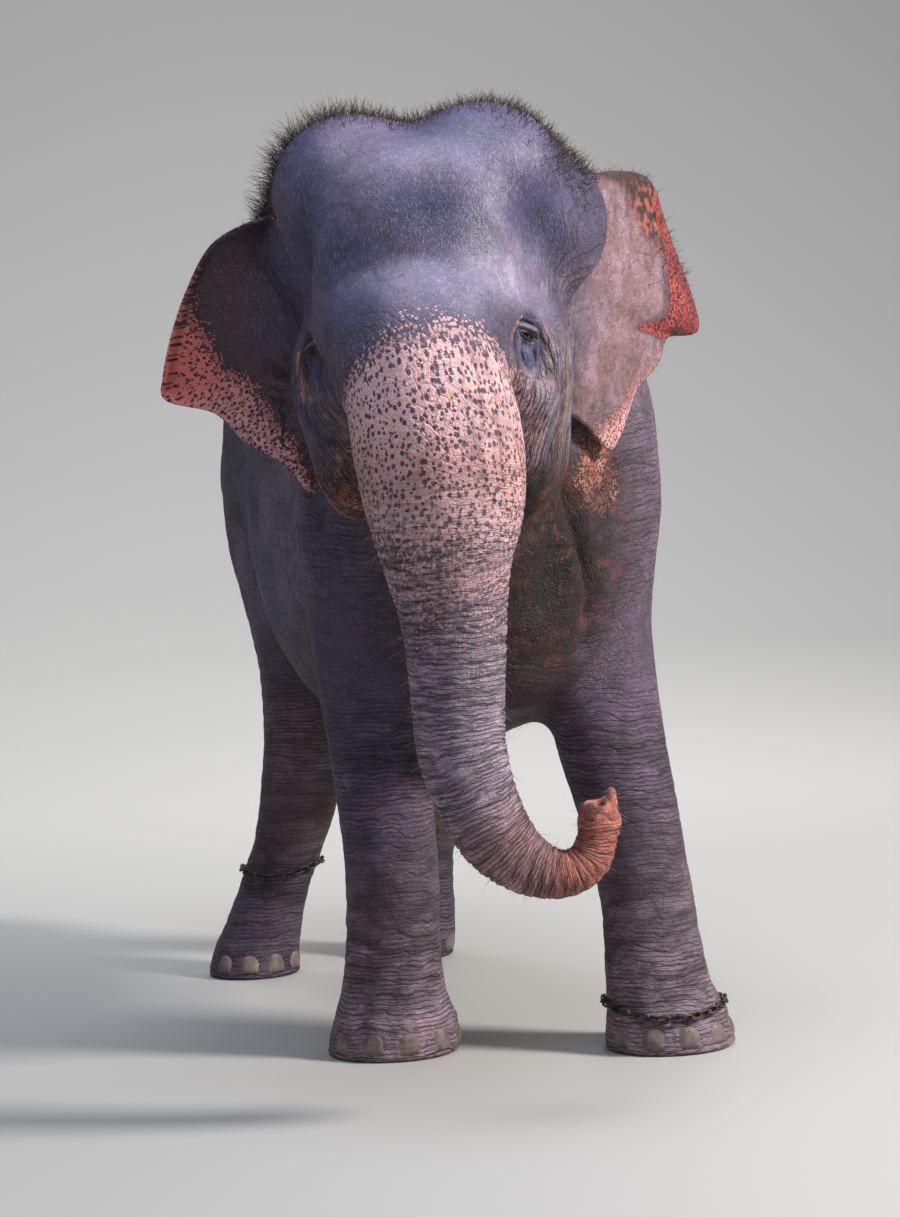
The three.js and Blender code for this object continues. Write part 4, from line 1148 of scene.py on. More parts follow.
def pinkness(where, across, around, front, onEar, p):  # -1 all dark, 1 all pink
    x, y, z = where["local"].T
    right = p[:, 0] < middleX
    back = np.where(x > 0, np.interp(z, *pinkMaps["leftBack"]), np.interp(z, *pinkMaps["rightBack"]))
    nose = np.minimum((np.interp(x, *pinkMaps["top"]) + 14 - z) / 105, (back + 8 - y) / 95)
    fade = np.interp(where["flow"][:, 2], *pinkMaps["down"])
    nose = nose - 0.48 * bump(np.hypot((x - 31) / 70, (z - 10) / 44), 1)
    onFace = np.maximum(where["trunk"], where["head"]) > 0.3
    pink = np.where(onFace, np.clip(np.minimum(nose, fade), -1, 1), -1)
    rim = np.where(right, np.interp(around, *pinkMaps["rightEar"]), np.interp(around, *pinkMaps["leftEar"]))
    corner = bump(np.abs(around - 0.45), 0.13) * ramp(across, 0.52, 0.78) * right
    ear = (np.clip((rim - (1 - across)) / 0.26, -1, 0.52) + 0.42 * corner) * front - (1 - front)
    neck = 0.52 - 0.75 * lengthOf((p - [200, -300, 1430]) / [120, 130, 120]) ** 2
    pink = np.maximum(pink, np.where(onFace, -1, np.clip(neck, -1, 1)))
    jaw = 0.30 - 0.5 * lengthOf((p - [-440, -380, 1420]) / [90, 130, 110]) ** 2
    chest = -0.22 - 0.2 * lengthOf((p - [90, -380, 1260]) / [150, 160, 230]) ** 2
    pink = np.maximum(pink, np.where(where["trunk"] > 0.3, -1, np.clip(np.maximum(jaw, chest), -1, 1)))
    flap = flapShare(across, around) * (p[:, 0] > middleX) * front
    return np.where(onEar > 0.3, np.maximum(ear, mix(-1.0, 0.44, flap)), pink)


def rimFar(p):  # distance to the margin of the nearer ear
    far = np.full(len(p), 400.0)
    for side in sides:
        rim = pathOf(rimLines[side], 90)
        near = ((p > rim.min(0) - 120) & (p < rim.max(0) + 120)).all(1)
        far[near] = np.minimum(far[near], farFrom(p[near], rim).min(1))
    return far


lineSpacing = {
    "trunk": (14.0, 8.0), "leg": 11.5, "root": 15.0, "cheek": 8.0, "throat": 13.0, "shoulder": 14.0,
    "armpit": 46,  # this one counts them round the armpit
}


def lineWay(p, where, onEar):  # counts the fine folds along each place, with how much they show
    q, trunk, leg = where["local"], where["trunk"], where["leg"]
    (x, y, z), (headX, headY, headZ) = p.T, q.T
    first, last = lineSpacing["trunk"]
    t = np.clip(where["along"] / trunkRuns[-1], 0, 1)
    far = rootFar(q)
    side = ramp(np.abs(headX), 150, 215)
    turn = np.arctan2(np.abs(headX), 60 - headY)
    pitX, pitZ = armpit["middle"]
    pit = np.hypot(z - pitZ, x - pitX) + np.abs(y + 340) * 0.5
    cheek = where["head"] * side * ramp(60 - headZ, 0, 90) * ramp(headY, -150, -70)
    shoulder = (1 - trunk) * (1 - where["head"]) * (1 - leg) * ramp(-y, -150, 60)
    shoulder = shoulder * ramp(z, 800, 950) * ramp(-z, -1700, -1500)
    low = ramp(-z, -330, -230) + bump(z - 700, 120) * 0.5
    kinds = (
        (trunk * 1.2, trunkRuns[-1] * np.log(mix(1.0, last / first, t)) / (last - first)),
        (leg * (0.52 + 0.48 * np.clip(low, 0, 1)), z / lineSpacing["leg"]),
        (bump(far - 85, 80) * 0.5 * (onEar < 0.2), far / lineSpacing["root"]),
        (cheek * 0.95, turn * 230 / lineSpacing["cheek"]),
        (bump(pit - 70, 130) * (1 - trunk) * (y < -60) * 0.95,
         np.arctan2(z - pitZ, x - pitX) / (2 * math.pi) * lineSpacing["armpit"]),
        (shoulder * 0.55, (z - 0.14 * np.abs(x - pitX)) / lineSpacing["shoulder"]),
        (ramp(-headZ, 250, 380) * (1 - trunk) * ramp(-y, 150, 320) * ramp(z, 900, 1050) * 0.6,
         (x + 0.3 * z) / lineSpacing["throat"]),
    )
    weight, phase = (np.stack(values) for values in zip(*kinds))
    order = np.sort(weight, 0)
    best = weight.argmax(0)
    share = np.clip((order[-1] - order[-2]) * 1.6, 0, 1) * np.clip(order[-1] * 1.4, 0, 1)
    share *= 1 - socket(p)
    tall = np.clip(np.maximum(weight[2], weight[3]) + where["head"] * 0.5, 0, 1)
    return phase[best, np.arange(len(p))], share, tall


dotScale = 1.3  # freckles are this much finer on the ears and neck than on the nose


def colourSkin(obj, creased):
    p, n = coords(obj), normalsOf(obj)
    where = places(p)
    across, around, front, onEar = earPlaces(p, n)
    q, flow, trunk, onHead = where["local"], where["flow"], where["trunk"], where["head"]
    (x, y, z), (headX, headY, headZ) = p.T, q.T
    under = np.tile(np.array(tones["mauve"]), (len(p), 1))

    def wash(name, share):
        nonlocal under
        under = mix(under, np.array(tones[name]), np.clip(share, 0, 1)[:, None])

    # back, flanks, legs and trunk, with painted shade over the body and its right side
    wash("slate", (ramp(z, 1350, 1800) * 0.9 + 0.25 * cloud(p, 240, 80)) * (1 - 0.7 * trunk))
    # painted shade: the body behind the shoulders is washed with the dark blue of shade
    wash("shadeBlue", 0.85 * ramp(y, -150, 120) * ramp(z, 650, 900))
    # painted shade on the right side of the body, the side away from the light
    shadedFlank = ramp(-x, 190, 260) * ramp(z, 350, 700) * (1 - onHead) * (1 - trunk) * (onEar < 0.2)
    wash("shadeBlue", 0.55 * shadedFlank)
    wash("brown", ramp(-z, -700, -250) * 0.40 + ramp(y, 300, 900) * ramp(-z, -1100, -800) * 0.7)
    wash("dustAndHighlight", ramp(-z, -560, -120) * 0.66 * mix(1.0, 0.15, ramp(y, 100, 400)))
    wash("dustAndHighlight", ramp(-z, -280, -60) * 0.85 * ramp(-y, -400, -100))
    # painted shade on the hind feet
    wash("shadeBlue", 0.5 * ramp(y, 400, 600) * ramp(-z, -420, -260))
    wash("dustAndHighlight", 0.16 + 0.25 * ramp(cloud(p, 190, 81), 0.42, 0.70))
    # the trunk, but for its lowest bend, is lightened: partly a real dusting, partly painted light on it
    wash("dustAndHighlight", 0.72 * trunk * ramp(z, 380, 560))
    wash("pale", 0.25 * trunk * ramp(z, 380, 560))
    # forehead, each temple and the cheeks, with painted shade in the forehead's hollow and on each temple, and
    # painted highlights on the brows, the crown and the lit left cheek
    hollow = blob(q, [70, -200, 300], [95, 140, 95])
    # painted shade: the upper head and the hollow in the middle of the forehead are darkened as if in shade
    wash("shadeBlue", 0.40 * onHead * ramp(headZ, 0, 90))
    wash("shadeBlue", 0.9 * onHead * hollow)
    wash("ink", 0.35 * onHead * hollow)
    # painted shade on each temple
    shadedTemples = blob(q, [275, 0, 260], [60, 110, 100]) + blob(q, [-250, -20, 240], [45, 110, 110])
    wash("shadeBlue", 0.6 * onHead * np.clip(shadedTemples, 0, 1))
    # painted highlights on the brows, on the crown and again over the left eye
    browHighlight = blob(q, [250, -80, 150], [60, 110, 70]) + blob(q, [60, -260, 150], [150, 130, 60])
    wash("pale", 0.16 * onHead * np.clip(browHighlight + blob(q, [0, -140, 410], [220, 120, 60]), 0, 1))
    wash("pale", 0.26 * onHead * blob(q, [240, -90, 140], [60, 110, 80]))
    cheek = onHead * ramp(np.abs(headX), 130, 200) * ramp(-headZ, -40, 60) * ramp(headY, -140, -60)
    # painted light: only the left cheek, on the lit side, is lightened
    wash("dustAndHighlight", 0.5 * cheek * (headX > 0))
    wash("pale", 0.20 * cheek * (headX > 0))
    wash("tan", 0.40 * cheek * specks(p, (34, 34, 120), 84, 0.5, 0.72))
    far = rootFar(q)
    ahead = onEar < 0.3
    streaks = specks(p, (26, 26, 120), 85, 0.4, 0.7)
    wash("tan", 0.45 * bump(far - 48, 16) * ramp(-headZ, -110, -30) * streaks * ahead)
    wash("dustAndHighlight", 0.35 * bump(far - 60, 40) * ramp(headX, 100, 200) * ramp(-headZ, -330, -200) * ahead)
    # painted shade in the gap along each ear's root
    wash("umber", 0.8 * bump(far, 15) * ramp(-headZ, -330, -200))
    # throat, armpit and belly, darkened as painted shade, with the rust flecks of their own skin
    throat = ramp(-headZ, 180, 380) * ramp(z, 800, 1050) * (1 - trunk) * ramp(-y, 120, 330)
    # painted shade under the jaw and on the chest
    wash("umber", 0.90 * throat)
    wash("pit", 0.35 * throat)
    # painted shade low on the chest between the forelegs
    wash("pit", 0.85 * (1 - trunk) * blob(p, [30, -330, 1010], [120, 170, 170]))
    wash("rust", 0.55 * throat * specks(p, 26, 82, 0.52, 0.72))
    # painted shade in the armpit
    pit = blob(p, [40, -390, 1180], [125, 150, 260]) * (1 - trunk)
    wash("pit", 0.92 * np.clip(pit * 1.3, 0, 1))
    wash("rust", 0.5 * np.clip(pit, 0, 1) * specks(p, (12, 12, 26), 89, 0.62, 0.76))
    # painted shade on the faces of the belly and chest that turn down
    wash("umber", 0.7 * ramp(-n[:, 2], 0.1, 0.7) * ramp(z, 560, 650) * (1 - trunk) * (1 - onHead))
    # the trunk's curled end
    curl = trunk * ramp(-flow[:, 2], -780, -600)
    inner = curl * ramp(np.cos(where["round"]), 0.2, -0.5)
    wash("rust", 0.45 * curl + 0.3 * ramp(-flow[:, 2], -560, -420) * trunk)
    wash("ember", 0.75 * inner * specks(flow, (60, 60, 14), 86, 0.40, 0.62))
    wash("ember", 0.60 * trunk * ramp(-flow[:, 2], -520, -400))
    # the ears
    rightEar, leftEar = onEar * front * (x < middleX), onEar * front * (x > middleX)
    # painted shade: the right ear is made darker than the left, as it lies in shade
    wash("brown", 0.55 * rightEar)
    wash("umber", 0.40 * rightEar)
    wash("fawn", 0.9 * leftEar)
    wash("dustAndHighlight", 0.5 * leftEar * specks(p, (30, 60, 50), 92, 0.4, 0.75))
    wash("slate", 0.6 * leftEar * ramp(-across, -0.34, -0.10) * ramp(around, 0.36, 0.6))
    wash("brown", 0.4 * leftEar * specks(p, (12, 22, 16), 93, 0.55, 0.75))
    strip = leftEar * ramp(across, 0.50, 0.68) * (1 - ramp(around, 0.24, 0.36))
    wash("umber", 0.9 * strip)
    turned = flapShare(across, around)
    wash("pit", 0.95 * leftEar * turned)
    # painted shadow just inside the edge where the ear turns over
    wash("umber", 0.5 * leftEar * (1 - turned) * flapShare(across + 0.05, around))
    wash("ember", 0.5 * strip * specks(p, (10, 18, 12), 94, 0.55, 0.68) * ramp(around, 0.10, 0.2))
    wash("umber", 0.8 * leftEar * bump(around - 0.93, 0.06) * ramp(across, 0.5, 0.8))
    wash("umber", 0.5 * leftEar * ramp(around, 0.64, 0.82) * ramp(cloud(p, 60, 97), 0.30, 0.62))
    wash("umber", 0.7 * rightEar * ramp(around, 0.86, 0.97) * ramp(across, 0.6, 0.9))
    # painted shade near the right ear's root
    wash("shadeBlue", 0.4 * rightEar * ramp(-across, -0.5, -0.1))
    # round the eyes: painted shade in the socket, under the lids, in the crease above the lid fold and under the
    # sacks, and a painted highlight on the fold
    for side in sides:  # round the eyes
        _, e, a, b = eyeShapes(side, p)
        near = e < 90
        upper = (b > 0) * near
        # painted shade in the socket
        wash("shadeBlue", 0.85 * (1 - ramp(np.sqrt((a / 58) ** 2 + ((b + 16) / 76) ** 2), 0.7, 1.15)) * near)
        wash("ink", 0.60 * bump(np.hypot(a / 44, (b - 2) / 42), 1) * near)
        wash("pit", 0.75 * bump(np.hypot(a / 32, (b + 2) / 30), 1) * near)
        # painted highlight on the fold over the upper lid
        wash("slate", 0.9 * bump(e - 17 + 0.12 * a, 6) * upper * ramp(44 - np.abs(a), 0, 20))
        wash("dustAndHighlight", 0.35 * bump(e - 18 + 0.12 * a, 5) * upper * ramp(40 - np.abs(a), 0, 20))
        wash("slate", 0.6 * bump(np.hypot(a / 30, (b + 48) / 52), 1) * near)
        # painted shade in the crease above the fold
        wash("ink", 0.8 * bump(e - 27 + 0.12 * a, 3) * upper * ramp(40 - np.abs(a), 0, 20))
        # painted shade under the lids, and the dark lid margin
        wash("umber", 0.85 * ramp(-e, -9, -2))
        wash("ink", 0.9 * ramp(-e, -1.5, 0.5))
        corner = bump(np.hypot(a - 2, b + 4) - 50, 5) * ramp(a, 5, 30) * ramp(b, -25, 0)
        wash("tan", 0.6 * corner * specks(p, 10, 88, 0.40, 0.62) * near)
        # painted shade under the lower edge of the sack
        below = bump(np.sqrt((a / 44) ** 2 + ((b + 26) / 84) ** 2) - 0.98, 0.12) * ramp(-b, -20, 10)
        wash("umber", 0.6 * below * near)
        wash("tan", 0.5 * bump(a + 62, 9) * bump(b + 10, 46) * specks(p, (8, 8, 60), 95, 0.42, 0.6) * near)
    # values that the paint reads
    calm = onHead * ramp(headZ, -10, 90) * ramp(far, 90, 150) * (1 - 0.5 * blob(q, [250, -100, 60], [60, 90, 50]))
    store(obj, "calm", np.maximum(calm, 0.9 * socket(p)))
    neck = blob(p, [200, -300, 1430], [170, 190, 170]) + throat + pit
    # painted light: the right ear's pink corner, turned from the light, is brightened to a light red
    corner = bump(np.abs(around - 0.44), 0.12) * ramp(across, 0.45, 0.78) * onEar * (x < middleX)
    warmth = np.clip(neck * (onEar < 0.2) * (1 - trunk), 0, 0.9)
    store(obj, "warm", np.stack([turned * leftEar, warmth, 0.85 * np.clip(corner * 1.3, 0, 1)], 1))
    store(obj, "under", under)
    store(obj, "pinkness", pinkness(where, across, around, front, onEar, p))
    # the folds' depth, darkened in the paint as painted shade
    store(obj, "creased", creased)
    store(obj, "flow", flow / 1000)
    store(obj, "share", np.stack([trunk, where["leg"], onEar * mix(0.4, 1, front)], 1))
    store(obj, "earAt", np.stack([across, around, rimFar(p) / 1000], 1))
    phase, share, tall = lineWay(p, where, onEar)
    store(obj, "lineAt", np.stack([phase, share, tall], 1))
    ring = np.hypot(where["left"], where["front"])
    onNose = (np.maximum(trunk, onHead) > 0.3) & (onEar < 0.2)
    flat = np.where(onNose[:, None], np.stack([ring * where["round"], -where["along"]], 1),
                    np.stack([x + 0.2 * y, z], 1) * dotScale)
    for side, s in sides.items():
        sheet = earSheet(side)[0]
        axes = np.linalg.svd(sheet - sheet.mean(0), full_matrices=False)[2][:2]
        here = (onEar >= 0.2) & (s * (x - middleX) > 0)
        flat[here] = (p[here] - sheet.mean(0)) @ axes.T * dotScale + 3000
    store(obj, "dotAt", np.stack([flat[:, 0], flat[:, 1], 0 * ring], 1) / 1000)
    report("skin coloured")


wrinkles = {  # per metre and in metres
    "lines": {"wander": 1.2, "deep": 0.0022, "dark": 0.78}, "folds": {"deep": 0.0026, "dark": 0.36},
    "net": {"scale": 30.0, "width": 0.12, "deep": 0.0022, "dark": 0.55},
    "cells": {"scale": 74.0, "width": 0.20, "deep": 0.0015, "dark": 0.62},
    "pebbles": {"scale": 190.0, "width": 0.30, "deep": 0.0006, "dark": 0.32},
    "grain": {"scale": 420.0, "deep": 0.0004},
}
freckles = (  # scale, share always there, pinkness below which all are there, size
    (50.0, 0.95, 1.0, 1.15), (66.0, 0.50, 0.95, 1.05), (92.0, 0.16, 0.80, 1.05), (128.0, 0.0, 0.60, 1.05))


wholeTurn = 6.2832  # of a sine


def skinPaint():
    paint = Paint("elephantSkin")
    flow = paint.drawnValue("flow", 1)
    under = paint.drawnValue("under", 0)
    pink, creased = paint.drawnValue("pinkness"), paint.drawnValue("creased")
    trunk, leg, ear = paint.three("share")
    rim = paint.three("earAt")[2]
    phase, runs, tall = paint.three("lineAt")
    turned, warmth, salmonLit = paint.three("warm")

    # fine folds, which follow the counted lines
    spec = wrinkles["lines"]
    wander = paint.noise(flow, 9.0, 2.0)
    fade = paint.noise(flow, 24.0, 2.0)
    lines = None
    for k, (slant, often) in enumerate(((0.0, 1.0), (2.1, 0.8), (-2.3, 0.8))):
        shiver = paint.noise(paint.vector("ADD", flow, (k * 3.1, 0.0, 0.0)), 20.0, 1.0) - 0.5
        bend = (wander - 0.5) * (spec["wander"] * 1.6) + shiver * (1.0 + abs(slant))
        wave = ((phase + bend + k * 0.33) * wholeTurn).math("SINE")
        line = wave.ramp(0.66, 1.0) * fade.ramp(0.36, 0.50, 0.35, 1.0) * often
        if k:
            line = line * paint.noise(paint.vector("ADD", flow, (0.0, k * 5.3, 0.0)), 15.0, 1.0).ramp(0.47, 0.58)
        lines = line if lines is None else lines.most(line)
    lines = lines * runs
    slow = ((phase * 0.31 + (wander - 0.5) * 2.6) * wholeTurn).math("SINE").ramp(0.62, 1.0) * runs

    # cracks between cells: a wide net, small cells and pebbles
    even = paint.vector("ADD", flow, paint.vector("SCALE", paint.noise(flow, 16.0, out=1), 0.022))
    level = paint.vector("MULTIPLY", even, (0.8, 0.8, 2.6))
    upright = paint.vector("MULTIPLY", even, (1.5, 1.5, 0.5))
    flat = trunk.most(leg * 0.85)
    plain, wide, high = (paint.cracks(at, wrinkles["cells"]) for at in (even, level, upright))
    small = paint.node("ShaderNodeMix", {}, {0: tall.ramp(0.35, 0.65), 2: plain, 3: high})
    small = paint.node("ShaderNodeMix", {}, {0: flat, 2: small, 3: wide})
    patches = paint.noise(flow, 5.5, 3.0, 0.6)
    calm = paint.drawnValue("calm")
    quiet = 1 - runs * 0.75
    net = paint.cracks(even, wrinkles["net"]) * patches.ramp(0.36, 0.60, 0.10, 0.9)
    net = net * (1 - calm) * (1 - ear * 0.9) * quiet * (1 - warmth * 0.7)
    small = small * patches.ramp(0.30, 0.55, 0.5, 0.9) * (1 - calm * 0.75) * (1 - ear * 0.8) * quiet.most(0.45)
    pebbles = paint.cracks(even, wrinkles["pebbles"]) * (1 - calm * 0.5)
    mottle = paint.noise(flow, 10.0, 3.0, 0.62)
    grain = paint.noise(flow, wrinkles["grain"]["scale"], 2.0, 0.65)
    fibre = paint.noise(paint.vector("MULTIPLY", flow, (1.0, 1.0, 0.13)), 330.0, 1.0, 0.6)

    # freckles in four sizes, and pink flecks in the dark skin
    speckle = paint.noise(flow, 30.0, 3.0, 0.6)
    patchy = pink + (speckle - 0.5) * 0.45
    dots = None
    laid = paint.drawnValue("dotAt", 1)
    at = paint.vector("ADD", laid, paint.vector("SCALE", paint.noise(laid, 230.0, 1.0, out=1), 0.0045))
    for k, (scale, always, below, size) in enumerate(freckles):
        spot, chance, vary = paint.dots(paint.vector("ADD", at, (k * 1.7, k * 2.3, 0.0)), scale, Randomness=0.82)
        there = (patchy.ramp(0.0, below, 1.1, always) - chance).ramp(-0.03, 0.03)
        reach = (vary * 0.10 + patchy.ramp(-0.05, 0.60, 0.52, 0.145)) * size
        spot = (reach - spot).ramp(-0.045, 0.045) * there
        dots = spot if dots is None else dots.most(spot)
    fleck, chance, vary = paint.dots(at, 104.0)
    fleck = (vary * 0.22 + patchy.ramp(-0.3, 0.3, 0.08, 0.40) - fleck).ramp(-0.06, 0.06)
    fleck = fleck * (patchy.ramp(-0.34, 0.26, -0.02, 0.95) - chance).ramp(-0.03, 0.03) * patchy.ramp(0.42, 0.24)
    bare = ((1 - dots * 0.95) * patchy.ramp(0.10, 0.30)).most(fleck * 0.75)

    # the pink skin, redder on the ears and the turned flap: partly their own colour, partly painted light shining
    # through the thin ear
    rosy = paint.mixed(paint.noise(flow, 24.0, 3.0).ramp(0.48, 0.72) * 0.5, tones["pink"], tones["peach"])
    warm = paint.mixed(paint.noise(flow, 20.0, 2.0).ramp(0.4, 0.65), tones["blood"], tones["ember"])
    rosy = paint.mixed(ear * 0.32, rosy, warm)
    rosy = paint.mixed(pink.ramp(0.45, 0.05) * (ear * 0.5 + 0.15), rosy, tones["ember"])
    rosy = paint.mixed(paint.noise(flow, 150.0, 2.0).ramp(0.52, 0.75) * 0.25, rosy, tones["rust"])
    # painted light on the right ear's pink corner
    rosy = paint.mixed(salmonLit, rosy, tones["salmonLit"])
    rosy = paint.mixed(turned, rosy, paint.mixed(mottle.ramp(0.35, 0.7), tones["coral"], tones["liver"]))
    rosy = paint.mixed(warmth, rosy, paint.mixed(speckle.ramp(0.4, 0.65), tones["clay"], tones["sand"]))

    # the dark skin
    fuzz = paint.noise(paint.vector("MULTIPLY", flow, (1.0, 0.6, 0.7)), 300.0, 2.0, 0.75)
    dark = paint.mixed(mottle.ramp(0.42, 0.75) * (0.5 - ear * 0.35), under, (1.8, 1.75, 1.8), "MULTIPLY")
    dark = paint.mixed(mottle.ramp(0.40, 0.18) * (0.45 - ear * 0.3), dark, tones["ink"])
    dark = paint.mixed(patchy.ramp(-0.35, 0.25) * 0.35, dark, tones["umber"])
    ridge = paint.noise(flow, 60.0, 2.0, 0.6).ramp(0.45, 0.8) * (1 - lines)
    dark = paint.mixed(ridge * 0.6, dark, (1.9, 1.8, 1.85), "MULTIPLY")
    dark = paint.mixed(ear * fuzz.ramp(0.50, 0.62) * 0.38, dark, (2.6, 2.4, 2.4), "MULTIPLY")
    # both together; the folds, cracks and pebbles are darkened, partly for the darker skin in them and partly as
    # painted shade, and the sculpted folds as painted shade
    colour = paint.mixed(bare, dark, rosy)
    ease = 1 - bare * 0.66
    cells = (net * wrinkles["net"]["dark"]).most(small * wrinkles["cells"]["dark"])
    for share in (lines * ease * spec["dark"], slow * ease * wrinkles["folds"]["dark"], cells * ease,
                  pebbles * ease * wrinkles["pebbles"]["dark"], creased * 0.7):
        colour = paint.mixed(share, colour, tones["ink"])
    colour = paint.mixed(grain.ramp(0.48, 0.74) * 0.5, colour, (1.9, 1.85, 1.9), "MULTIPLY")
    colour = paint.mixed(fibre.ramp(0.50, 0.72) * calm * 0.16, colour, tones["pale"])
    edge = (rim + (speckle - 0.5) * 0.012).ramp(0.007, 0.002) * ear.ramp(0.2, 0.6)
    colour = paint.mixed(edge * 0.85, colour, tones["umber"])

    # relief, in metres
    height = lines * -spec["deep"] - slow * wrinkles["folds"]["deep"] - net * wrinkles["net"]["deep"]
    height = height - small * wrinkles["cells"]["deep"] - pebbles * wrinkles["pebbles"]["deep"]
    height = height + grain * wrinkles["grain"]["deep"] + mottle * 0.003
    height = height + fibre * calm * 0.0005 + ear * fuzz * 0.0012
    rough = mottle.ramp(0.3, 0.7, 0.56, 0.66) - calm * 0.13 + small * 0.15 + patchy.ramp(-0.2, 0.1) * 0.1
    return paint.finish(Base_Color=colour, Roughness=rough, Normal=paint.bumped(height), Specular_IOR_Level=0.42)


colourSkin(skin, creased)
skin.data.materials.clear()
skin.data.materials.append(skinPaint())

# nails, chain links, eyes and hair are set on the finished skin
skinTree = BVHTree.FromObject(skin, bpy.context.evaluated_depsgraph_get())


def reached(start, way, far):  # where a ray in mm meets the skin
    hit = skinTree.ray_cast(Vector((np.array(start) - origin) / 1000), Vector(way), far / 1000)[0]
    return None if hit is None else np.array(hit) * 1000 + origin


nails = {"across": 17, "up": 15, "wide": 1.16, "crown": 6.5, "lip": 2.4, "sunk": 5.0}


def addNail(toe):
    low, high = (np.array(v) * 1000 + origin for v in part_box(toe["name"]))
    side = np.array([-toe["way"][1], toe["way"][0], 0])
    half = 27 * nails["wide"]
    front, behind = [], []
    for t in np.linspace(0, 1, nails["up"]):
        breadth = half * (1 - 0.10 * (1 - t)) * max(1 - max(t - 0.35, 0) ** 2 / 0.44, 0.0) ** 0.5
        for a in np.linspace(-1, 1, nails["across"]):
            edge = max(abs(a), abs(2 * t - 1) * 0.98)
            z = mix(low[2] + 6, high[2] - 1, t) + 2.0 * (1 - a * a) * (t - 0.2)
            start = toe["at"] + toe["way"] * 90 + side * a * breadth
            start[2] = z
            hit = reached(start, -toe["way"], 160)
            if hit is None:
                hit = toe["at"] + side * a * breadth
                hit[2] = z
            swell = nails["crown"] * (1 - edge ** 2.6) + nails["lip"] * (1 - t) * (1 - abs(a) ** 3)
            front.append(hit + toe["way"] * (swell - 1.2))
            behind.append(hit - toe["way"] * nails["sunk"])
    rows, columns = nails["up"], nails["across"]
    faces = sheetFaces(rows, columns)
    if np.cross(front[1] - front[0], front[columns] - front[0]) @ toe["way"] < 0:
        faces = faces[:, ::-1]
    nail = meshObject(toe["name"].replace("_nail_", "Nail"), np.array(front + behind), faces)
    applied(nail, "SUBSURF", levels=1)
    nail.data.shade_smooth()
    return nail


def nailPaint():
    paint = Paint("toenailHorn")
    place = paint.node("ShaderNodeNewGeometry")
    ridges = paint.noise(paint.vector("MULTIPLY", place, (190.0, 190.0, 16.0)), 1.0, 3.0, 0.6)
    bands = paint.noise(paint.vector("MULTIPLY", place, (9.0, 9.0, 90.0)), 1.0, 2.0)
    stain = paint.noise(place, 24.0, 4.0, 0.6)
    colour = paint.mixed(stain.ramp(0.3, 0.7), tone(124, 108, 102), tone(82, 68, 64))
    colour = paint.mixed(ridges.ramp(0.5, 0.8) * 0.5, colour, tone(150, 134, 124))
    colour = paint.mixed(bands.ramp(0.55, 0.75) * 0.35, colour, tone(64, 52, 50))
    height = ridges * 0.0011 + bands * 0.0006 + stain * 0.0008
    return paint.finish(Base_Color=colour, Roughness=stain.ramp(0.3, 0.7, 0.42, 0.62), Normal=paint.bumped(height))


horn = nailPaint()
for toe in toes:
    nail = addNail(toe)
    nail.data.materials.clear()
    nail.data.materials.append(horn)
    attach(nail, "root")
    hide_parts(toe["name"])
report("nails set")

chains = {
    "chain_hind_right": {"leg": "hind_right", "z": 306.0, "tilt": 0.06, "sag": 10.0},
    "chain_front_left": {"leg": "front_left", "z": 104.0, "tilt": -0.04, "sag": 12.0},
}
links = {"long": 39.0, "wide": 23.0, "wire": 6.6, "around": 20, "section": 10}


def loopPath(spec, count=240):  # a slack ring lying on the leg
    rows = legLines[spec["leg"]]
    zs = [r[2] for r in rows]
    middle = np.array([np.interp(spec["z"], zs, [r[c] for r in rows]) for c in (0, 1)] + [spec["z"]])
    path = []
    for a in np.arange(count) / count * 2 * math.pi:
        way = np.array([math.cos(a), math.sin(a), 0])
        start = middle + way * 320
        start[2] += spec["tilt"] * 140 * math.cos(a) + spec["sag"] * math.cos(a * 2 + 0.6)
        hit = reached(start, -way, 320)
        path.append(hit + way * (links["wide"] * 0.36))
    path = np.array(path)
    for _ in range(60):  # taut over hollows, never nearer than the skin
        eased = (np.roll(path, 1, 0) + np.roll(path, -1, 0)) / 2
        out = path - middle
        out[:, 2] = 0
        out /= lengthOf(out)[:, None]
        path = path + out * np.maximum(((eased - path) * out).sum(1), 0)[:, None]
    return path


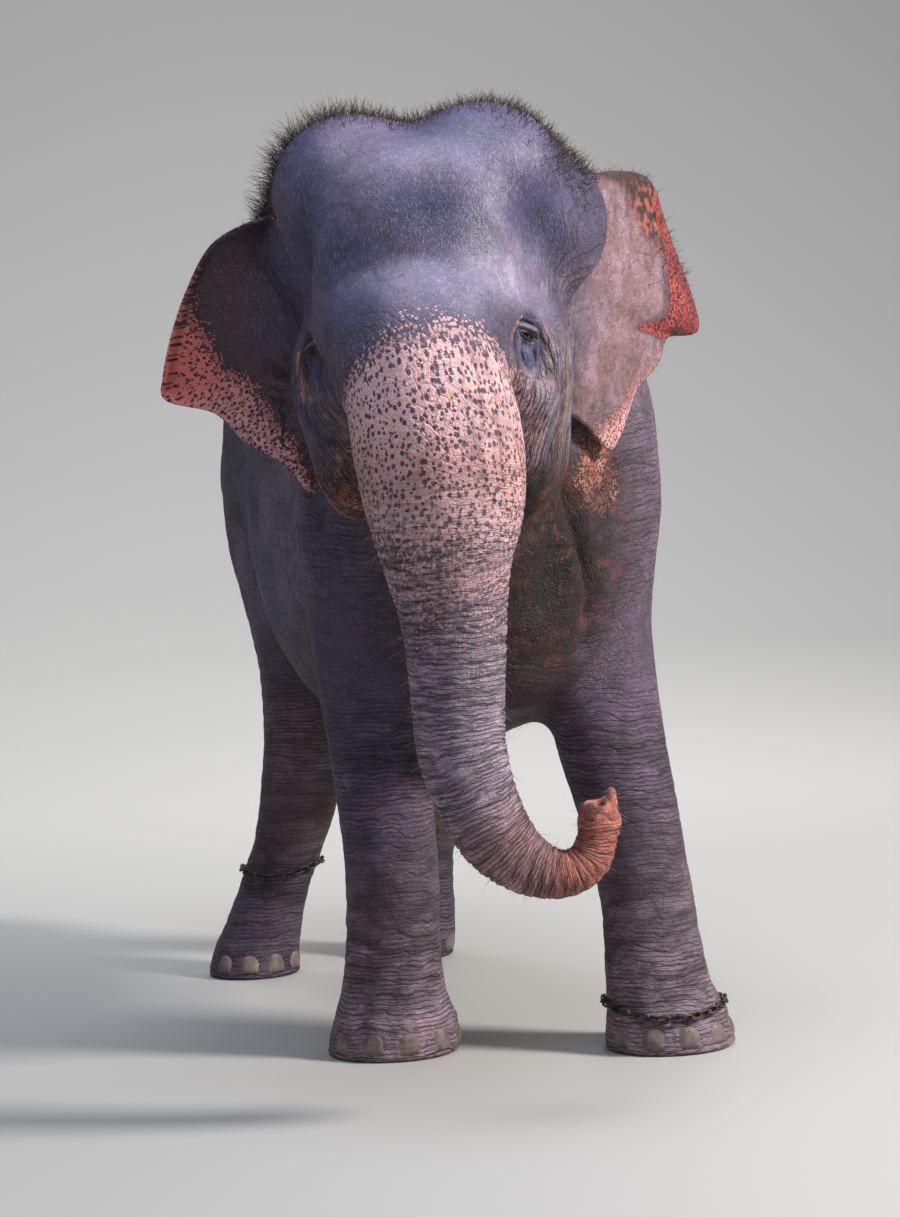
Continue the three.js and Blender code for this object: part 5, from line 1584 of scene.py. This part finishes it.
def addChain(name, spec):
    path = loopPath(spec)
    closed = np.vstack([path, path[:1]])
    run = np.concatenate([[0], np.cumsum(lengthOf(np.diff(closed, axis=0)))])
    pitch = links["long"] - 2 * links["wire"] + 0.6
    count = int(round(run[-1] / pitch / 2)) * 2
    at = np.arange(count) / count * run[-1]

    def place(s):
        return np.stack([np.interp(s % run[-1], run, closed[:, c]) for c in range(3)], -1)

    middle = path.mean(0)
    n, m = links["around"], links["section"]
    t = np.arange(n) / n * 2 * math.pi
    bend = (links["wide"] - links["wire"]) / 2
    straight = (links["long"] - links["wide"]) / 2
    shift = straight * np.sign(np.cos(t)) * np.minimum(np.abs(np.cos(t)) * 3, 1)
    oval = np.stack([bend * np.cos(t) + shift, bend * np.sin(t)], 1)
    tangent = np.roll(oval, -1, 0) - np.roll(oval, 1, 0)
    tangent /= lengthOf(tangent)[:, None]
    side = np.stack([tangent[:, 1], -tangent[:, 0]], 1)
    rng = np.random.default_rng(7)
    points = []
    for k, s in enumerate(at):
        centre = place(s)
        along = place(s + 6) - place(s - 6)
        along /= lengthOf(along)
        out = centre - middle
        out -= along * (out @ along)
        out[2] *= 0.3
        out /= lengthOf(out)
        up = np.cross(out, along)
        turn = math.radians((38 if k % 2 else -52) + rng.uniform(-9, 9))
        flat = up * math.cos(turn) + out * math.sin(turn)
        thick = np.cross(along, flat)
        for q in range(n):
            core = centre + along * oval[q, 0] + flat * oval[q, 1]
            lean = along * side[q, 0] + flat * side[q, 1]
            for r in range(m):
                a = 2 * math.pi * r / m
                points.append(core + links["wire"] / 2 * (lean * math.cos(a) + thick * math.sin(a)))
    q, r = (g.ravel() for g in np.meshgrid(np.arange(n), np.arange(m), indexing="ij"))
    q2, r2 = (q + 1) % n, (r + 1) % m
    one = np.stack([q * m + r, q2 * m + r, q2 * m + r2, q * m + r2], 1)
    faces = np.concatenate([one + k * n * m for k in range(count)])
    points = np.array(points)
    volume = (points[one[:, 0]] * np.cross(points[one[:, 1]], points[one[:, 2]])).sum()
    return meshObject(name.replace("chain_", "links_"), points, faces if volume > 0 else faces[:, ::-1])


def ironPaint():
    paint = Paint("chainIron")
    place = paint.node("ShaderNodeNewGeometry")
    rust = paint.noise(place, 60.0, 4.0, 0.65)
    pits = paint.noise(place, 700.0, 3.0, 0.6)
    colour = paint.mixed(rust.ramp(0.45, 0.7) * 0.75, tone(58, 56, 58), tone(104, 66, 46))
    colour = paint.mixed(pits.ramp(0.5, 0.8) * 0.35, colour, tone(150, 146, 144))
    return paint.finish(
        Base_Color=colour, Metallic=rust.ramp(0.45, 0.7, 0.9, 0.25), Roughness=rust.ramp(0.4, 0.7, 0.38, 0.75),
        Normal=paint.bumped(pits * 0.0004 + rust * 0.0006))


iron = ironPaint()
for name, spec in chains.items():
    chain = addChain(name, spec)
    chain.data.materials.append(iron)
    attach(chain, "root")
    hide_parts(name)
report("chains laid")

gaze = {"around": 64, "rings": 40, "bulge": 1.5}


def addEye(side):  # a ball whose poles lie on the line of sight
    centre, fore, up, out = eyeFrame(side)
    look = out * 0.94 + fore * 0.28
    look /= lengthOf(look)
    right = np.cross(up, look)
    right /= lengthOf(right)
    over = np.cross(look, right)
    tilt = np.linspace(0, math.pi, gaze["rings"] + 1)[1:-1]
    turn = np.arange(gaze["around"]) / gaze["around"] * 2 * math.pi
    points, angle = [centre + look * (eyes["ball"] + gaze["bulge"])], [0.0]
    for b in tilt:
        r = eyes["ball"] - 0.5 + (gaze["bulge"] + 0.5) * float(ramp(math.radians(36) - b, 0, math.radians(16)))
        for a in turn:
            aside = right * math.cos(a) + over * math.sin(a)
            points.append(centre + r * (look * math.cos(b) + math.sin(b) * aside))
            angle.append(b)
    points.append(centre - look * eyes["ball"])
    angle.append(math.pi)
    n, last = gaze["around"], len(points) - 1
    faces = [(0, 1 + i, 1 + (i + 1) % n) for i in range(n)]
    for j in range(len(tilt) - 1):
        for i in range(n):
            a, b = 1 + j * n + i, 1 + j * n + (i + 1) % n
            faces.append((a, a + n, b + n, b))
    faces += [(last - n + i, last, last - n + (i + 1) % n) for i in range(n)]
    ball = meshObject(f"eyeball_{side}", points, faces)
    store(ball, "tilt", np.degrees(angle))
    q = np.array(points) - centre
    spoke = np.arctan2(q @ over, q @ right) / math.pi
    store(ball, "spoke", np.stack([spoke, 0 * spoke, 0 * spoke], 1))
    return ball


def eyePaint():
    paint = Paint("eyeGloss")
    tilt = paint.drawnValue("tilt")
    spoke = paint.three("spoke")[0]
    fibres = paint.noise(paint.node("ShaderNodeCombineXYZ", {}, {0: spoke * 40.0, 1: tilt * 0.12}), 1.0, 3.0, 0.6)
    iris = paint.mixed(fibres.ramp(0.3, 0.7), tone(60, 34, 18), tone(112, 68, 36))
    iris = paint.mixed(tilt.ramp(22.0, 29.0) * 0.8, iris, tone(34, 22, 18))
    veins = paint.noise(paint.node("ShaderNodeNewGeometry"), 240.0, 3.0).ramp(0.4, 0.7)
    white = paint.mixed(veins * 0.5, tone(92, 72, 66), tone(52, 38, 36))
    colour = paint.mixed(tilt.ramp(28.0, 31.0), iris, white)
    colour = paint.mixed(tilt.ramp(14.0, 16.5, 1.0, 0.0), colour, tone(12, 10, 12))
    return paint.finish(Base_Color=colour, Roughness=0.12, Coat_Weight=1.0, Coat_Roughness=0.03)


gloss = eyePaint()
for side in sides:
    eyeball = addEye(side)
    eyeball.data.materials.append(gloss)
    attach(eyeball, "root")
    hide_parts(f"eye_{side}")
report("eyes set")


def unwrapped(p):  # the skin's own shape laid flat, in five charts: body, head, trunk, and tail and legs
    where = places(p)
    q = toHead(p)
    out = np.zeros((len(p), 2))
    turn = np.arctan2(p[:, 0], p[:, 2] - 1350) / (2 * math.pi) + 0.5
    out[:] = np.stack([turn * 0.48, np.clip((p[:, 1] + 600) / 2600, 0, 1) * 0.48], 1)
    over = np.arctan2(q[:, 0], -q[:, 1] + 60) / (2 * math.pi) + 0.5
    headUv = np.stack([0.5 + over * 0.48, np.clip((q[:, 2] + 520) / 1100, 0, 1) * 0.48], 1)
    onHead = where["head"] > 0.5
    out[onHead] = headUv[onHead]
    onTrunk = where["trunk"] > 0.5
    out[onTrunk] = np.stack([where["round"] / (2 * math.pi) * 0.48 + 0.25,
                             0.5 + np.clip(where["along"] / trunkRuns[-1], 0, 1) * 0.48], 1)[onTrunk]
    low = (where["leg"] > 0.5) & (p[:, 2] < 900)
    quarter = (p[:, 0] > -100).astype(float) + 2 * (p[:, 1] > 700)
    out[low] = np.stack([0.5 + quarter * 0.12 + (turn % 0.11), 0.5 + p[:, 2] / 900 * 0.3], 1)[low]
    tail = p[:, 1] > 1840
    out[tail] = np.stack([0.5 + turn * 0.45, 0.82 + np.clip(p[:, 2] / 1700, 0, 1) * 0.16], 1)[tail]
    return out


def rootsOn(obj, thickness, spec):  # points spread over the skin by a share for each place
    mesh = obj.data
    middle = readAll(mesh.polygons, "center", 3).astype(float) * 1000 + origin
    normal = readAll(mesh.polygons, "normal", 3).astype(float)
    area = readAll(mesh.polygons, "area")
    share = np.clip(thickness(middle, normal), 0, None) * area
    count, rng = spec["count"], np.random.default_rng(spec["seed"])
    pick = rng.choice(len(area), count, p=share / share.sum())
    spread = np.sqrt(area[pick])[:, None] * 1000
    shift = rng.normal(0, 0.3, (count, 3)) * spread
    shift -= normal[pick] * (shift * normal[pick]).sum(1)[:, None]
    return middle[pick] + shift, normal[pick], rng


def strands(name, root, way, length, width, curl, hang, rng, steps=5, around=3):
    count = len(root)
    way = way / lengthOf(way)[:, None]
    spin = rng.normal(size=(count, 3))
    spin -= way * (spin * way).sum(1)[:, None]
    spin /= lengthOf(spin)[:, None]
    t = np.linspace(0, 1, steps + 1)
    length, width = np.broadcast_to(length, count), np.broadcast_to(width, count)
    bend = spin * (curl * length)[:, None] + np.array([0, 0, -1.0]) * (hang * length)[:, None]
    line = (root - way * 2.0)[:, None] + way[:, None] * (length[:, None] * t)[..., None]
    line = line + bend[:, None] * (t ** 2)[None, :, None]
    cross = np.cross(way, spin)
    points = []
    for k in range(steps):
        r = width * (1 - t[k]) ** 0.6
        for j in range(around):
            a = 2 * math.pi * j / around
            points.append(line[:, k] + (spin * math.cos(a) + cross * math.sin(a)) * r[:, None])
    points.append(line[:, steps])
    points = np.stack(points, 1)
    per = steps * around + 1
    faces = []
    for k in range(steps - 1):
        for j in range(around):
            a, b = k * around + j, k * around + (j + 1) % around
            faces += [(a, b, b + around), (a, b + around, a + around)]
    top = (steps - 1) * around
    faces += [(top + j, top + (j + 1) % around, per - 1) for j in range(around)]
    faces = (np.array(faces)[None] + (np.arange(count) * per)[:, None, None]).reshape(-1, 3)
    hair = meshObject(name, points.reshape(-1, 3), faces)
    spot = unwrapped(root)
    uv = hair.data.uv_layers.new(name="OFBake")
    share = np.stack([np.tile(np.linspace(0, 1, per), 1), np.resize([0, 0.5, 1.0], per)], 1) * 0.003
    whole = (spot[:, None] + share[None]).reshape(-1, 2)
    uv.data.foreach_set("uv", whole[faces.ravel()].astype(np.float32).ravel())
    store(hair, "rootShare", np.tile(np.concatenate([np.repeat(t[:-1], around), [1.0]]), count))
    report(f"{name}: {len(faces)} faces")
    return hair


def hairPaint(name, base, tip, pale, amount):
    paint = Paint(name)
    up = paint.drawnValue("rootShare")
    place = paint.node("ShaderNodeNewGeometry")
    vary = paint.noise(place, 55.0, 2.0)
    colour = paint.mixed(up.ramp(0.2, 1.0), base, tip)
    colour = paint.mixed(vary.ramp(0.5, 0.7) * amount, colour, pale)
    return paint.finish(Base_Color=colour, Roughness=vary.ramp(0.3, 0.7, 0.42, 0.6), Specular_IOR_Level=0.4)


darkHair = hairPaint("darkBristle", tone(34, 26, 26), tone(78, 54, 48), tone(120, 84, 66), 0.5)
paleHair = hairPaint("paleBristle", tone(120, 96, 84), tone(196, 170, 148), tone(226, 206, 186), 0.6)


hairs = {  # how many, the seed of their places, shortest and longest, and how wide at the root, in mm
    "crownHair": {"count": 7200, "seed": 3, "long": (22, 60), "wide": 0.85},
    "crownDown": {"count": 7200, "seed": 4, "long": (12, 36), "wide": 0.8},
    "bodyBristles": {"count": 5200, "seed": 5, "long": (9, 24), "wide": (0.18, 0.3)},
    "trunkBristles": {"count": 620, "seed": 8, "long": (8, 24), "wide": (0.3, 0.5)},
    "lashes": {"count": 46, "seed": 11, "long": (18, 36), "wide": 0.5},
    "tailTuft": {"count": 900, "seed": 13, "long": (90, 178), "wide": (0.7, 1.2)},
    "earHairs": {"count": 1500, "seed": 17, "long": (7, 20), "wide": 0.32},
}


def crownHair(name, spec):
    def thick(p, n):
        q = toHead(p)
        top = ramp(q[:, 2], 170, 340) * ramp(300 - q[:, 1], 0, 60) * ramp(q[:, 1], -60, 60)
        top *= ramp(410 - np.abs(q[:, 0]), 0, 30)
        nape = ramp(q[:, 1], 180, 300) * ramp(p[:, 2], 1800, 1960) * 0.25
        back = ramp(p[:, 2], 1850, 2000) * (p[:, 1] > -200) * (np.abs(q[:, 0]) < 400) * 0.03
        return (top + nape + back) * ramp(n[:, 2], -0.1, 0.3)
    root, n, rng = rootsOn(skin, thick, spec)
    length = rng.uniform(*spec["long"], len(root)) * mix(0.8, 1.35, ramp(-toHead(root)[:, 0], 60, 220))
    length = length * mix(1, 0.6, ramp(root[:, 1], -200, 100))
    lie = n * 0.8 + headAxes["y"] * 0.15 + np.array([0, 0, 0.35]) + rng.normal(0, 0.42, n.shape)
    return strands(name, root, lie, length, rng.uniform(0.6, 1.0, len(root)) * spec["wide"], 0.26, 0.08, rng)


def bodyBristles(name, spec):  # short ones over the face, chin, throat, shoulders and belly
    def thick(p, n):
        q = toHead(p)
        face = ramp(330 - q[:, 1], 0, 100) * ramp(q[:, 2], -420, -300) * (lengthOf(q) < 620)
        chin = 2.5 * (lengthOf((q - [0, -80, -400]) / [110, 130, 70]) < 1)
        chest = 0.5 * ramp(-p[:, 1], 150, 330) * ramp(p[:, 2], 850, 1000)
        belly = 0.3 * ramp(-n[:, 2], 0.3, 0.7) * ramp(p[:, 2], 600, 720)
        return (0.25 * face + chin + chest + belly + 0.06) * ramp(p[:, 2], 60, 120)
    root, n, rng = rootsOn(skin, thick, spec)
    lie = n * 0.7 + np.array([0, 0, -0.55]) + rng.normal(0, 0.3, n.shape)
    length = rng.uniform(*spec["long"], len(root))
    return strands(name, root, lie, length, rng.uniform(*spec["wide"], len(root)), 0.14, 0.12, rng, steps=4)


def trunkBristles(name, spec):
    def thick(p, n):
        where = places(p)
        behind = ramp(np.abs(where["round"]), 1.0, 2.2)
        return where["trunk"] * (0.03 + behind) * ramp(-p[:, 2], -1500, -1350)
    root, n, rng = rootsOn(skin, thick, spec)
    lie = n + np.array([0, 0, -0.5]) + rng.normal(0, 0.25, n.shape)
    length = rng.uniform(*spec["long"], len(root)) + 34 * (rng.random(len(root)) < 0.16)
    return strands(name, root, lie, length, rng.uniform(*spec["wide"], len(root)), 0.1, 0.16, rng)


def lashes(name, spec):
    roots, ways, lengths = [], [], []
    rng = np.random.default_rng(spec["seed"])
    for side in sides:
        centre, fore, up, out = eyeFrame(side)
        for k in range(spec["count"]):
            a = mix(-19, 17, (k + rng.uniform(-0.4, 0.4)) / (spec["count"] - 1))
            start = centre + fore * a + up * (9.5 - 0.012 * a * a + a * -0.16) + out * 70
            hit = reached(start, -out, 90)
            if hit is None:
                continue
            roots.append(hit)
            way = out * 0.9 + up * rng.uniform(-0.55, -0.25) - fore * (0.15 + 0.012 * a)
            ways.append(way + rng.normal(0, 0.07, 3))
            lengths.append(rng.uniform(*spec["long"]))
    width = np.full(len(roots), spec["wide"])
    return strands(name, np.array(roots), np.array(ways), np.array(lengths), width, 0.05, 0.22, rng, steps=6)


def tailTuft(name, spec):
    count, rng = spec["count"], np.random.default_rng(spec["seed"])
    share = rng.uniform(0.72, 1.0, count) ** 0.8
    at = share * tailRuns[-1]
    centre = np.stack([np.interp(at, tailRuns, tailRows[:, c]) for c in range(4)], 1)
    radius = centre[:, 3]
    fore = np.where(rng.random(count) < 0.5, -1.0, 1.0)
    side = rng.normal(0, 0.5, count)
    way = np.stack([side * 0.5, fore * rng.uniform(0.16, 0.5, count), -np.ones(count)], 1)
    root = centre[:, :3] + np.stack([side * 0.4 * radius, fore * radius * 0.8, np.zeros(count)], 1)
    length = rng.uniform(*spec["long"], count) * mix(0.75, 1.0, ramp(share, 0.75, 0.95))
    return strands(name, root, way, length, rng.uniform(*spec["wide"], count), 0.10, 0.06, rng, steps=7)


def earHairs(name, spec):
    def thick(p, n):
        share = np.zeros(len(p))
        for side in sides:
            rim = pathOf(rimLines[side], 60)
            box = ((p > rim.min(0) - 60) & (p < rim.max(0) + 60)).all(1)
            share[box] = np.maximum(share[box], 0.15 + bump(farFrom(p[box], rim[::2]).min(1), 22))
        return share
    root, n, rng = rootsOn(skin, thick, spec)
    lie = n + np.array([0, 0, -0.4]) + rng.normal(0, 0.3, n.shape)
    length = rng.uniform(*spec["long"], len(root))
    return strands(name, root, lie, length, np.full(len(root), spec["wide"]), 0.1, 0.1, rng, steps=4)


for name, grow, paint in (
        ("crownHair", crownHair, darkHair), ("crownDown", crownHair, darkHair),
        ("bodyBristles", bodyBristles, darkHair), ("trunkBristles", trunkBristles, paleHair),
        ("lashes", lashes, darkHair), ("tailTuft", tailTuft, darkHair), ("earHairs", earHairs, paleHair)):
    hair = grow(name, hairs[name])
    hair.data.materials.append(paint)
    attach(hair, "root")
    if name == "tailTuft":
        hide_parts("tail_tuft")
report("hair grown")

view = {
    "eye": (-2165.0, -7692.0, 1550.0), "yaw": 15.0, "horizon": 430.0, "focal": 3224.0, "roll": math.atan(0.047),
    "width": 900, "height": 1217,
}


def addCamera(view):
    pitch = math.atan((view["height"] / 2 - view["horizon"]) / view["focal"])
    yaw = math.radians(view["yaw"])
    forward = Vector((math.sin(yaw) * math.cos(pitch), math.cos(yaw) * math.cos(pitch), -math.sin(pitch)))
    right = Vector((math.cos(yaw), -math.sin(yaw), 0))
    down = forward.cross(right)
    c, s = math.cos(view["roll"]), math.sin(view["roll"])
    x, up = right * c + down * s, right * s - down * c
    turn = Matrix((x, up, -forward)).transposed().to_4x4()
    lens = bpy.data.cameras.new("camera")
    lens.sensor_width, lens.sensor_fit = 36, "AUTO"
    lens.lens = view["focal"] / view["height"] * 36
    lens.clip_end = 100
    camera = bpy.data.objects.new("camera", lens)
    at = (np.array(view["eye"]) - origin) / 1000
    camera.matrix_world = Matrix.Translation(Vector(at)) @ turn
    scene.collection.objects.link(camera)
    scene.camera = camera


addCamera(view)

lights = {
    "key": {"at": (5.0, -4.4, 5.2), "aim": (0, -0.5, 1.2), "size": 1.6, "power": 900, "color": (1.0, 0.96, 0.92)},
    "fill": {"at": (-6.5, -6.0, 3.2), "aim": (0, -0.3, 1.0), "size": 4.0, "power": 70, "color": (0.80, 0.87, 1.0)},
    "top": {"at": (-0.5, -1.9, 6.6), "aim": (-0.1, -0.8, 1.0), "size": 3.0, "power": 215, "color": (0.78, 0.86, 1.0)},
    "back": {"at": (3.5, 6.0, 4.5), "aim": (0, 0.6, 1.2), "size": 4.0, "power": 130, "color": (1.0, 0.98, 0.95)},
    "wall": {"at": (0.0, 5.0, 8.0), "aim": (2.5, 13.5, 1.5), "size": 6.0, "power": 900, "color": (0.96, 0.98, 1.0)},
}
sky = {"color": (0.80, 0.86, 1.0), "strength": 0.22}
scene.view_settings.view_transform = "Standard"


def addLights():
    for name, spec in lights.items():
        lamp = bpy.data.lights.new(name, "AREA")
        lamp.shape, lamp.size, lamp.energy, lamp.color = "DISK", spec["size"], spec["power"], spec["color"]
        obj = bpy.data.objects.new(name, lamp)
        at, aim = Vector(spec["at"]), Vector(spec["aim"])
        obj.location = at
        obj.rotation_euler = (aim - at).to_track_quat("-Z", "Y").to_euler()
        scene.collection.objects.link(obj)
    world = bpy.data.worlds.new("sky")
    world.use_nodes = True
    node = world.node_tree.nodes["Background"]
    node.inputs["Color"].default_value = (*sky["color"], 1)
    node.inputs["Strength"].default_value = sky["strength"]
    scene.world = world


addLights()


def addFloor():
    mesh = bpy.data.meshes.new("floor")
    size, bend, wall = 30.0, 12.0, 6.0
    profile = [(-size, 0.0), (wall, 0.0)] + [
        (wall + bend * math.sin(a), bend * (1 - math.cos(a))) for a in np.linspace(0, math.pi / 2, 14)[1:]]
    profile.append((wall + bend, size))
    turn = math.radians(-view["yaw"])
    c, s = math.cos(turn), math.sin(turn)
    verts = [(x * c - y * s, x * s + y * c, z) for y, z in profile for x in (-size, size)]
    faces = [(2 * i, 2 * i + 1, 2 * i + 3, 2 * i + 2) for i in range(len(profile) - 1)]
    mesh.from_pydata(verts, [], faces)
    mesh.shade_smooth()
    obj = bpy.data.objects.new("floor", mesh)
    scene.collection.objects.link(obj)
    material = bpy.data.materials.new("floorPaint")
    material.use_nodes = True
    bsdf = material.node_tree.nodes["Principled BSDF"]
    bsdf.inputs["Base Color"].default_value = (0.42, 0.41, 0.395, 1)
    bsdf.inputs["Roughness"].default_value = 0.9
    mesh.materials.append(material)


addFloor()
fleshNodes = [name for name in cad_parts
              if not name.startswith(("eye_", "chain_", "tail_tuft")) and "_nail_" not in name]
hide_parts(*fleshNodes)
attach(skin, "root")
